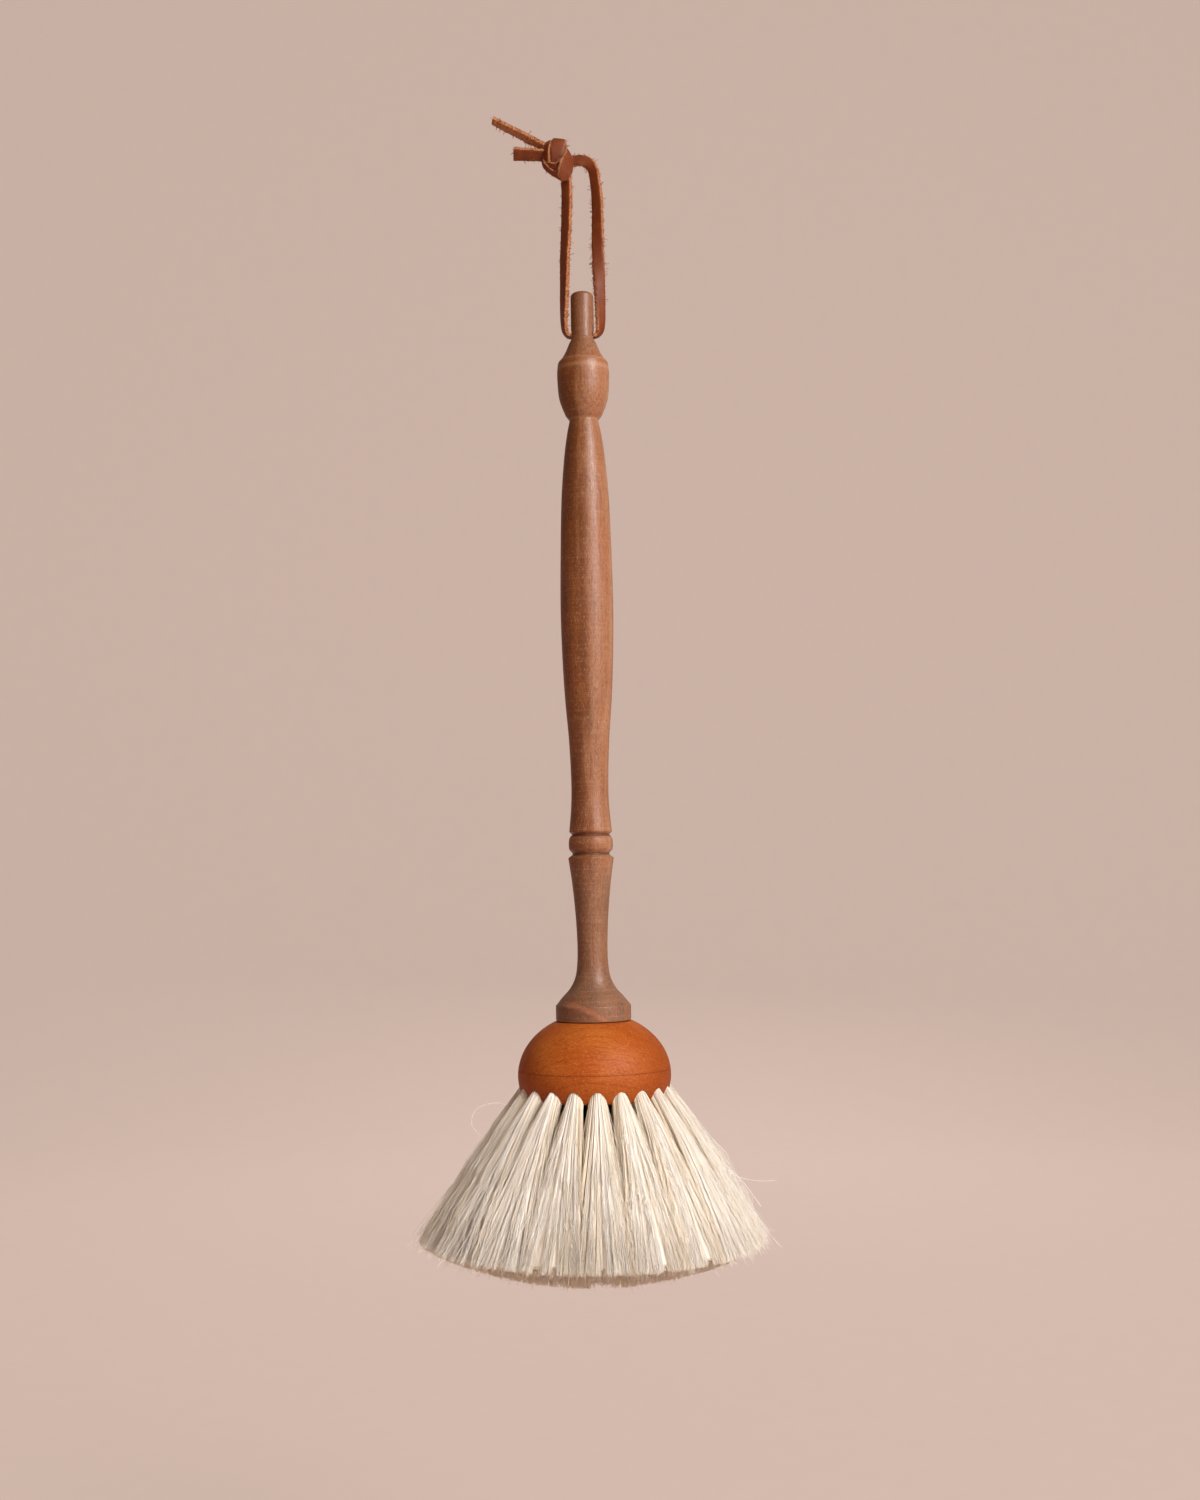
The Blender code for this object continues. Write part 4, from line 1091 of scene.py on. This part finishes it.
def tuft_tree():
    """A tuft of hair at azimuth 0: a soft mass with fine strands, from its bore out to the trimmed ends."""
    tree = ShapeTree("Tuft of hair")
    maths, random_for = tree.maths, tree.random
    strands, in_lock, seed = (tree.given(name, "Int") for name in ("Strands", "Strands in a lock", "Seed"))
    mouth, mouth_z, slant, root, sunk = (
        tree.given(name) for name in ("Mouth radius", "Mouth height", "Slant", "Root radius", "Sunk")
    )
    middle, depth, angle, side, square = (
        tree.given("Tip " + name)
        for name in ("radius", "half depth", "half angle", "half width", "squareness")
    )
    bottom, trim, fringe, thick, fill = (
        tree.given(name)
        for name in ("Trimmed height", "Trim radius", "Fringe", "Strand radius", "Mass fill")
    )
    sine, cosine = maths("SINE", slant), maths("COSINE", slant)

    def hair_path(a, b, t, cut):
        """The point at share t along the hair that stands at (a, b) in the tuft's section."""
        narrow = b * (1 - maths("MAXIMUM", a, 0.0) * 0.34)
        base = tree.vector(
            mouth + a * root * cosine - sunk * sine, narrow * root, mouth_z + a * root * sine + sunk * cosine
        )
        radius = middle + depth * a * (1 + b * b * square)
        spread = b * (1 + a * a * square)
        turn = angle * spread
        x, y = radius * maths("COSINE", turn), radius * maths("SINE", turn) + side * spread
        z = bottom + trim - maths("SQRT", trim * trim - x * x - y * y)
        tip = tree.vector(x, y, z + cut)
        length = maths("LENGTH", tip - base, out="Value")
        bend = base + tree.vector(sine, 0.0, 0.0 - cosine) * length * 0.5
        bend = bend + tree.vector(0.0, (y - b * root) * 0.40, 0.0)
        return base * (1 - t) * (1 - t) + bend * t * (1 - t) * 2.0 + tip * t * t

    def scatter(number, offset):
        """Random values from -2 to 2, most of them near 0."""
        first, second = seed + offset, seed + (offset + 1)
        return random_for(number, first, -1.0, 1.0) + random_for(number, second, -1.0, 1.0)

    index = tree.add("GeometryNodeInputIndex")
    rows = MASS_RINGS + 2
    column = maths("FLOOR", (index + 0.5) / rows)
    row = index - column * rows
    t = maths("MINIMUM", maths("MAXIMUM", (row - 1) / (MASS_RINGS - 1), 0.0), 1.0)
    turn = column * (math.tau / MASS_SIDES)
    around, across = maths("COSINE", turn), maths("SINE", turn)
    grooves = tree.noise(tree.vector(around, across, seed * 0.37 + t * 0.25), (4.5, 4.5, 1.0), 3.0, 0.65)
    inside = maths("MULTIPLY", maths("GREATER_THAN", row, 0.5), maths("LESS_THAN", row, rows - 1.5))
    filled = fill + (INNER_FILL - fill) * maths("MAXIMUM", 0.0 - around, 0.0)
    reach = (MASS_REACH + t * t * filled + (grooves - 0.5) * t * GROOVE_DEPTH) * inside
    surface = hair_path(reach * around, reach * across, t, MASS_CUT + (grooves - 0.5) * MASS_UNEVENNESS)
    mass = tree.add("GeometryNodeMeshGrid", {}, {"Vertices X": MASS_SIDES + 1, "Vertices Y": rows})
    mass = tree.add("GeometryNodeSetPosition", {}, {"Geometry": mass, "Position": surface})
    # Painted warm shade: the mass is straw at its root and paler towards its end.
    mass = tree.store(mass, shade=t * MASS_SHADE, along=maths("GREATER_THAN", row, rows - 2.5) * 1.5 + 0.5)
    mass = tree.add("GeometryNodeMergeByDistance", {}, {"Geometry": mass, "Distance": MASS_MERGE_DISTANCE})

    strand = maths("FLOOR", (index + 0.5) / STRAND_POINTS)
    t = (index - strand * STRAND_POINTS) / (STRAND_POINTS - 1)
    lock = maths("FLOOR", (strand + 0.5) / in_lock)
    outer = maths("GREATER_THAN", random_for(lock, seed + 12), INNER_LOCKS)
    reach = random_for(lock, seed)
    reach = (0.88 + reach * 0.20) * outer + maths("SQRT", reach) * (1 - outer)
    turn = random_for(lock, seed + 1, -1.0, 1.0) * (math.pi - outer * 0.85)
    a = reach * maths("COSINE", turn) + scatter(strand, 2) * LOCK_WIDTH
    b = reach * maths("SINE", turn) + scatter(strand, 4) * LOCK_WIDTH
    path = hair_path(a, b, t, random_for(strand, seed + 6, -1.0, 1.0) * fringe)
    wander = tree.noise(tree.vector(lock * 5.17 + seed * 0.37, t * 1.7, 0.0), 1.0, 1.0, out="Color")
    curl = tree.noise(tree.vector(strand * 3.31, t * 2.6, seed * 0.71), 1.0, 1.0, out="Color")
    loose = tree.rise(random_for(strand, seed + 7), 0.80, 1.0)
    drift = (wander - 0.5) * LOCK_WANDER + (curl - 0.5) * (STRAND_CURL + loose * loose * LOOSE_CURL)
    path = path + drift * tree.vector(0.8, 1.0, 0.15) * t
    # Strands at a tuft's sides are more straw, as painted warm shade in the gaps between tufts.
    shade = random_for(lock, seed + 8) * 0.40 + random_for(strand, seed + 9) * 0.60 - b * b * 0.40
    rooted = tree.add(
        "ShaderNodeMapRange", {},
        {"Value": t, "From Min": 0.0, "From Max": 0.4, "To Min": ROOT_THINNING, "To Max": 1.0},
    )
    thickness = thick * random_for(strand, seed + 10, 0.75, 1.2) * (1 - loose * 0.15)
    thickness = thickness * rooted * (1 - tree.rise(t, 0.80, 1.0) * 0.45)
    hair = tree.add("GeometryNodePoints", {}, {"Count": strands * STRAND_POINTS, "Position": path})
    hair = tree.store(hair, shade=shade, along=t, thickness=thickness)
    hair = tree.add("GeometryNodePointsToCurves", {}, {"Points": hair, "Curve Group ID": strand})
    hair = tree.threads(hair, tree.stored("thickness"))
    hair = tree.add("GeometryNodeRemoveAttribute", {}, {"Geometry": hair, "Name": "thickness"})
    both = tree.add("GeometryNodeJoinGeometry")
    for geometry in (mass, hair):
        tree.tree.links.new(geometry.socket, both.socket.node.inputs[0])
    both = tree.add("GeometryNodeSetShadeSmooth", {}, {"Geometry": both, "Shade Smooth": True})
    trimmed = maths("GREATER_THAN", tree.stored("along"), 1.9)
    both = tree.add(
        "GeometryNodeSetShadeSmooth", {}, {"Geometry": both, "Selection": trimmed, "Shade Smooth": False}
    )
    return tree.finish(both)


def thread_tree():
    """Makes threads, as thin as hair, of lines of points."""
    tree = ShapeTree("Thread")
    curves = tree.add("GeometryNodeMeshToCurve", {}, {0: tree.given("Geometry")})
    return tree.finish(tree.store(tree.threads(curves, tree.given("Strand radius")), shade=0.6))


class BRUSH_OT_tufts(bpy.types.Operator):
    """Draw a tuft of hair into every bore and leave a few hairs loose"""

    bl_idname = "brush.tufts"
    bl_label = "Draw the tufts"

    def execute(self, context):
        settings = context.scene.dusting_brush.hair
        material = hair_finish(settings)
        tree = tuft_tree()
        inner = settings.inner_strands
        counts = [settings.outer_strands, settings.middle_strands, inner, inner]
        for ring, strands in zip(RINGS, counts):
            name, count, radius, rise, slant, tips_from, tips_to, square, fill = ring
            alone = count == 1
            shape = {
                "Strands": strands,
                "Strands in a lock": settings.lock,
                "Mouth radius": radius,
                "Mouth height": UNDERSIDE_Z + rise,
                "Slant": slant,
                "Root radius": BORE_RADIUS - GLUE_GAP - 2 * settings.thickness,
                "Sunk": ROOT_SUNK,
                "Tip half depth": tips_to if alone else (tips_to - tips_from) / 2,
                "Tip half angle": 0.0 if alone else TIP_OVERLAP * math.pi / count,
                "Tip half width": tips_to if alone else 0.0,
                "Tip squareness": square,
                "Trimmed height": HAIR_BOTTOM_Z,
                "Trim radius": TRIM_RADIUS,
                "Fringe": settings.fringe,
                "Strand radius": settings.thickness,
                "Mass fill": fill,
                "Material": material,
            }
            for i, azimuth in enumerate(azimuths(count)):
                node = name if alone else f"{name}_{i + 1:02d}"
                spread = 1 + LEFT_SPREAD * max(0.0, -math.cos(azimuth)) if name == "outer_tuft" else 1.0
                shape["Tip radius"] = 0.0 if alone else spread * (tips_from + tips_to) / 2
                shape["Seed"] = settings.seed + 20 * (i + 1) + 1000 * counts.index(strands)
                tuft = shaped(node.replace("tuft", "hair"), bpy.data.meshes.new(node), tree, shape)
                tuft.data.transform(Matrix.Rotation(azimuth, 4, "Z"))
                dress(tuft, "brush", [node])
        lines = line_mesh("stray_hairs", [smooth_route(route, STRAY_STEPS) for route in STRAY_HAIRS])
        inputs = {"Strand radius": settings.thickness * STRAY_THICKENING, "Material": material}
        dress(shaped("stray_hairs", lines, thread_tree(), inputs), "brush")
        return {"FINISHED"}


class Straps:
    """Leather straps under construction, which become one mesh with an attribute for its raw edges."""

    def __init__(self, settings):
        self.settings = settings
        self.random = random.Random(settings.seed)
        self.points, self.faces, self.raw = [], [], []

    def add(self, points, normals, widths, thickness):
        """A strap along the points; a normal points out of its smooth side."""
        first = len(self.points)
        ragged = self.settings.raggedness
        rings = []
        for point, along, normal, width in zip(points, tangents(points), normals, widths):
            across = along.cross(normal).normalized()
            out = across.cross(along).normalized()
            ring = []
            edges = [self.random.uniform(-ragged, ragged) for _ in range(2)]
            for u, v, raw in STRAP_SECTION:
                stray = (edges[u > 0] + self.random.uniform(-ragged, ragged) * 0.4) * raw
                lift = self.random.uniform(-ragged, ragged) * raw * 0.5
                side = u * width / 2 + (stray if abs(u) > 0.9 else 0.0)
                ring.append(point + across * side + out * (v * thickness / 2 + lift))
                self.raw.append(raw)
            rings.append(ring)
        self.points += [tuple(point) for ring in rings for point in ring]
        self.faces += walls(rings, first)
        for end in (rings[0], rings[-1]):
            start = len(self.points)
            middle = sum((Vector(point) for point in end), Vector()) / len(end)
            face = self.faces.pop(-1 if end is rings[-1] else -2)
            self.points.append(tuple(middle))
            self.raw.append(1.0)
            self.faces += [(face[i], face[(i + 1) % len(face)], start) for i in range(len(face))]

    def turned(self, stations, step):
        """A strap whose smooth side is turned from the front by each station's angle; returns its line."""
        route = even_route(stations, step)
        points = [Vector(station[:3]) for station in route]
        normals = []
        for station, along in zip(route, tangents(points)):
            turn = math.radians(station[3])
            normals.append(FRONT * math.cos(turn) + along.cross(DEPTH) * math.sin(turn))
        widths = [station[4] * self.settings.width for station in route]
        self.add(points, normals, widths, self.settings.thickness)
        return points

    def wrapped(self, stations, step):
        """A strap that lies round the knot's centre, smooth side out."""
        route = even_route(stations, step)
        points = [Vector(station[:3]) for station in route]
        widths = [station[3] for station in route]
        self.add(points, [p - KNOT_CENTRE for p in points], widths, self.settings.thickness * BAND_THINNING)

    def ball(self, centre, radii):
        """The hidden middle of the knot."""
        bm = bmesh.new()
        place = Matrix.Translation(centre) @ Matrix.Diagonal((*radii, 1))
        bmesh.ops.create_icosphere(bm, subdivisions=3, radius=1, matrix=place)
        first = len(self.points)
        self.points += [tuple(vert.co) for vert in bm.verts]
        self.raw += [0.2] * len(bm.verts)
        self.faces += [tuple(first + vert.index for vert in face.verts) for face in bm.faces]
        bm.free()

    def piece(self, name):
        item = mesh_object(name, self.points, self.faces)
        item.data.attributes.new("raw", "FLOAT", "POINT").data.foreach_set("value", self.raw)
        return outward(item, SHARP_LEATHER, merge=0)


def fibre_tree():
    """Short loose fibres that stand on the raw parts of a leather strap."""
    tree = ShapeTree("Loose fibres")
    leather, density, seed = tree.given("Geometry"), tree.given("Density"), tree.given("Seed", "Int")
    raw = tree.maths("GREATER_THAN", tree.stored("raw"), RAW_FROM)
    points = tree.add(
        "GeometryNodeDistributePointsOnFaces", {"distribute_method": "RANDOM"},
        {"Mesh": leather, "Selection": raw, "Density": density, "Seed": seed},
    )
    index = tree.add("GeometryNodeInputIndex")
    arc = tree.add(
        "GeometryNodeCurveQuadraticBezier", {},
        {"Resolution": 3, "Start": (0, 0, -0.0001), "Middle": (0, 0, 0.0005), "End": (0.0005, 0, 0.0009)},
    )
    tilt = [tree.random(index, seed + i, -0.9, 0.9) for i in (1, 2)]
    turn = tree.vector(*tilt, tree.random(index, seed + 3, 0.0, math.tau))
    turn = tree.add(
        "FunctionNodeRotateRotation", {"rotation_space": "LOCAL"}, {0: points.out("Rotation"), 1: turn}
    )
    long = tree.random(index, seed + 4)
    fibres = tree.add(
        "GeometryNodeInstanceOnPoints", {},
        {"Points": points, "Instance": tree.threads(arc, FIBRE_RADIUS), "Rotation": turn,
         "Scale": long * long * long * 1.7 + 0.35},
    )
    fibres = tree.add("GeometryNodeRealizeInstances", {}, {0: fibres})
    return tree.finish(tree.store(fibres, raw=1.0))


class BRUSH_OT_lace(bpy.types.Operator):
    """Lay the leather lace through the handle, tie its knot and fray its edges"""

    bl_idname = "brush.lace"
    bl_label = "Tie the lace"

    def execute(self, context):
        settings = context.scene.dusting_brush.lace
        material = leather_finish(settings)
        strip = Straps(settings)
        line = strip.turned(LACE_ROUTE, STRAP_STEP)
        strip = strip.piece("lace_strip")
        knot = Straps(settings)
        knot.ball(KNOT_CENTRE, KNOT_CORE)
        for band in KNOT_BANDS:
            knot.wrapped(band, BAND_STEP)
        for tail in TAILS:
            knot.turned(tail, STRAP_STEP)
        knot = knot.piece("knot_straps")
        both = bmesh.new()
        both.from_mesh(strip.data)
        both.from_mesh(knot.data)
        rough = bpy.data.meshes.new("lace_fibres")
        both.to_mesh(rough)
        both.free()
        inputs = {"Density": settings.fibres, "Seed": settings.seed, "Material": material}
        fibres = shaped("lace_fibres", rough, fibre_tree(), inputs)
        dress(strip, "lace", ["hanging_lace"], material)
        dress(knot, "lace", ["lace_knot"], material)
        dress(fibres, "lace")
        return {"FINISHED"}


def soft_light(name, power, size, place, colour, shines):
    """A round soft light that points at the brush's middle; only one that shines shows in reflections."""
    lamp = bpy.data.lights.new(name, "AREA")
    lamp.energy = power
    lamp.shape = "DISK"
    lamp.size = size
    lamp.color = colour
    item = placed(name, lamp)
    item.location = place
    item.rotation_euler = (BRUSH_MIDDLE - place).to_track_quat("-Z", "Y").to_euler()
    item.visible_camera = False
    item.visible_glossy = shines


def place_camera(lens):
    """A camera that looks at the brush from the front, lifted and rolled a little."""
    ahead = DEPTH * math.cos(CAMERA_LIFT) + UP * math.sin(CAMERA_LIFT)
    upright = UP * math.cos(CAMERA_LIFT) - DEPTH * math.sin(CAMERA_LIFT)
    level = DEPTH.cross(UP)
    up = upright * math.cos(CAMERA_ROLL) + level * math.sin(CAMERA_ROLL)
    right = level * math.cos(CAMERA_ROLL) - upright * math.sin(CAMERA_ROLL)
    camera = placed("camera", bpy.data.cameras.new("camera"))
    camera.data.lens = lens
    camera.data.sensor_width = SENSOR_WIDTH
    place = Matrix.Translation(CAMERA_AIM - ahead * CAMERA_DISTANCE)
    camera.matrix_world = place @ Matrix((right, up, -ahead)).transposed().to_4x4()
    return camera


def look(azimuth, elevation, distance, target):
    """A place at that bearing from the target: azimuth 0 is the front, and 90 the right side."""
    turn, lift = math.radians(azimuth), math.radians(elevation)
    level = Vector((math.sin(turn), -math.cos(turn), 0.0)) * math.cos(lift)
    return target + (level + UP * math.sin(lift)) * distance


class BRUSH_OT_stage(bpy.types.Operator):
    """Set up the floor, the backdrop, the lights and the camera"""

    bl_idname = "brush.stage"
    bl_label = "Set the stage"

    def execute(self, context):
        settings = context.scene.dusting_brush.stage
        scene = context.scene
        scene.view_settings.view_transform = "Standard"
        scene.camera = place_camera(settings.lens)
        for name, size, azimuth, elevation, distance, colour, shines in LIGHTS:
            place = look(azimuth, elevation, distance, BRUSH_MIDDLE)
            soft_light(name + "_light", getattr(settings, name + "_power"), size, place, colour, shines)
        profile = [(FLOOR_FRONT, settings.drop), (BEND_START, settings.drop)]
        for step in range(1, BEND_STEPS + 1):
            turn = math.pi / 2 * step / BEND_STEPS
            rise = settings.drop + BEND_RADIUS * (1 - math.cos(turn))
            profile.append((BEND_START + BEND_RADIUS * math.sin(turn), rise))
        profile.append((BEND_START + BEND_RADIUS, BACKDROP_TOP))
        points = [(x, y, z) for y, z in profile for x in (-FLOOR_HALF_WIDTH, FLOOR_HALF_WIDTH)]
        faces = [(2 * i, 2 * i + 1, 2 * i + 3, 2 * i + 2) for i in range(len(profile) - 1)]
        floor = mesh_object("backdrop", points, faces)
        floor.data.shade_smooth()
        floor.data.materials.append(stage_finish(settings.backdrop, settings.paleness))
        world = bpy.data.worlds.new("studio")
        world.use_nodes = True
        world.node_tree.nodes.clear()
        scene.world = world
        nodes = Nodes(world.node_tree)
        kind = "ShaderNodeBackground"
        light = nodes.add(kind, {}, {"Color": AMBIENT_COLOUR, "Strength": settings.ambient})
        pale = nodes.add(kind, {}, {"Color": HORIZON_COLOUR, "Strength": 1.0})
        mixed = nodes.add("ShaderNodeMixShader", {}, {0: background_rays(nodes), 1: light, 2: pale})
        nodes.add("ShaderNodeOutputWorld", {}, {"Surface": mixed})
        return {"FINISHED"}


class BRUSH_PT_panel(bpy.types.Panel):
    """The brush's pieces, with their sizes and colours"""

    bl_idname = "BRUSH_PT_panel"
    bl_label = "Dusting brush"
    bl_space_type = "VIEW_3D"
    bl_region_type = "UI"
    bl_category = "Brush"

    def draw(self, context):
        settings = context.scene.dusting_brush
        for operator, group in (
            (BRUSH_OT_stage, settings.stage), (BRUSH_OT_lace, settings.lace),
            (BRUSH_OT_handle, settings.handle), (BRUSH_OT_head, settings.head),
            (BRUSH_OT_tufts, settings.hair),
        ):
            box = self.layout.box()
            box.operator(operator.bl_idname)
            for name in group.__annotations__:
                box.prop(group, name)


CLASSES = (
    HandleSettings, HeadSettings, HairSettings, LaceSettings, StageSettings, BrushSettings,
    BRUSH_OT_stage, BRUSH_OT_lace, BRUSH_OT_handle, BRUSH_OT_head, BRUSH_OT_tufts, BRUSH_PT_panel,
)


def register():
    for item in CLASSES:
        bpy.utils.register_class(item)
    bpy.types.Scene.dusting_brush = PointerProperty(type=BrushSettings)


def unregister():
    del bpy.types.Scene.dusting_brush
    for item in reversed(CLASSES):
        bpy.utils.unregister_class(item)


def main():
    register()
    bpy.ops.brush.stage()
    bpy.ops.brush.lace()
    bpy.ops.brush.handle()
    bpy.ops.brush.head()
    bpy.ops.brush.tufts()


if __name__ == "__main__":
    main()
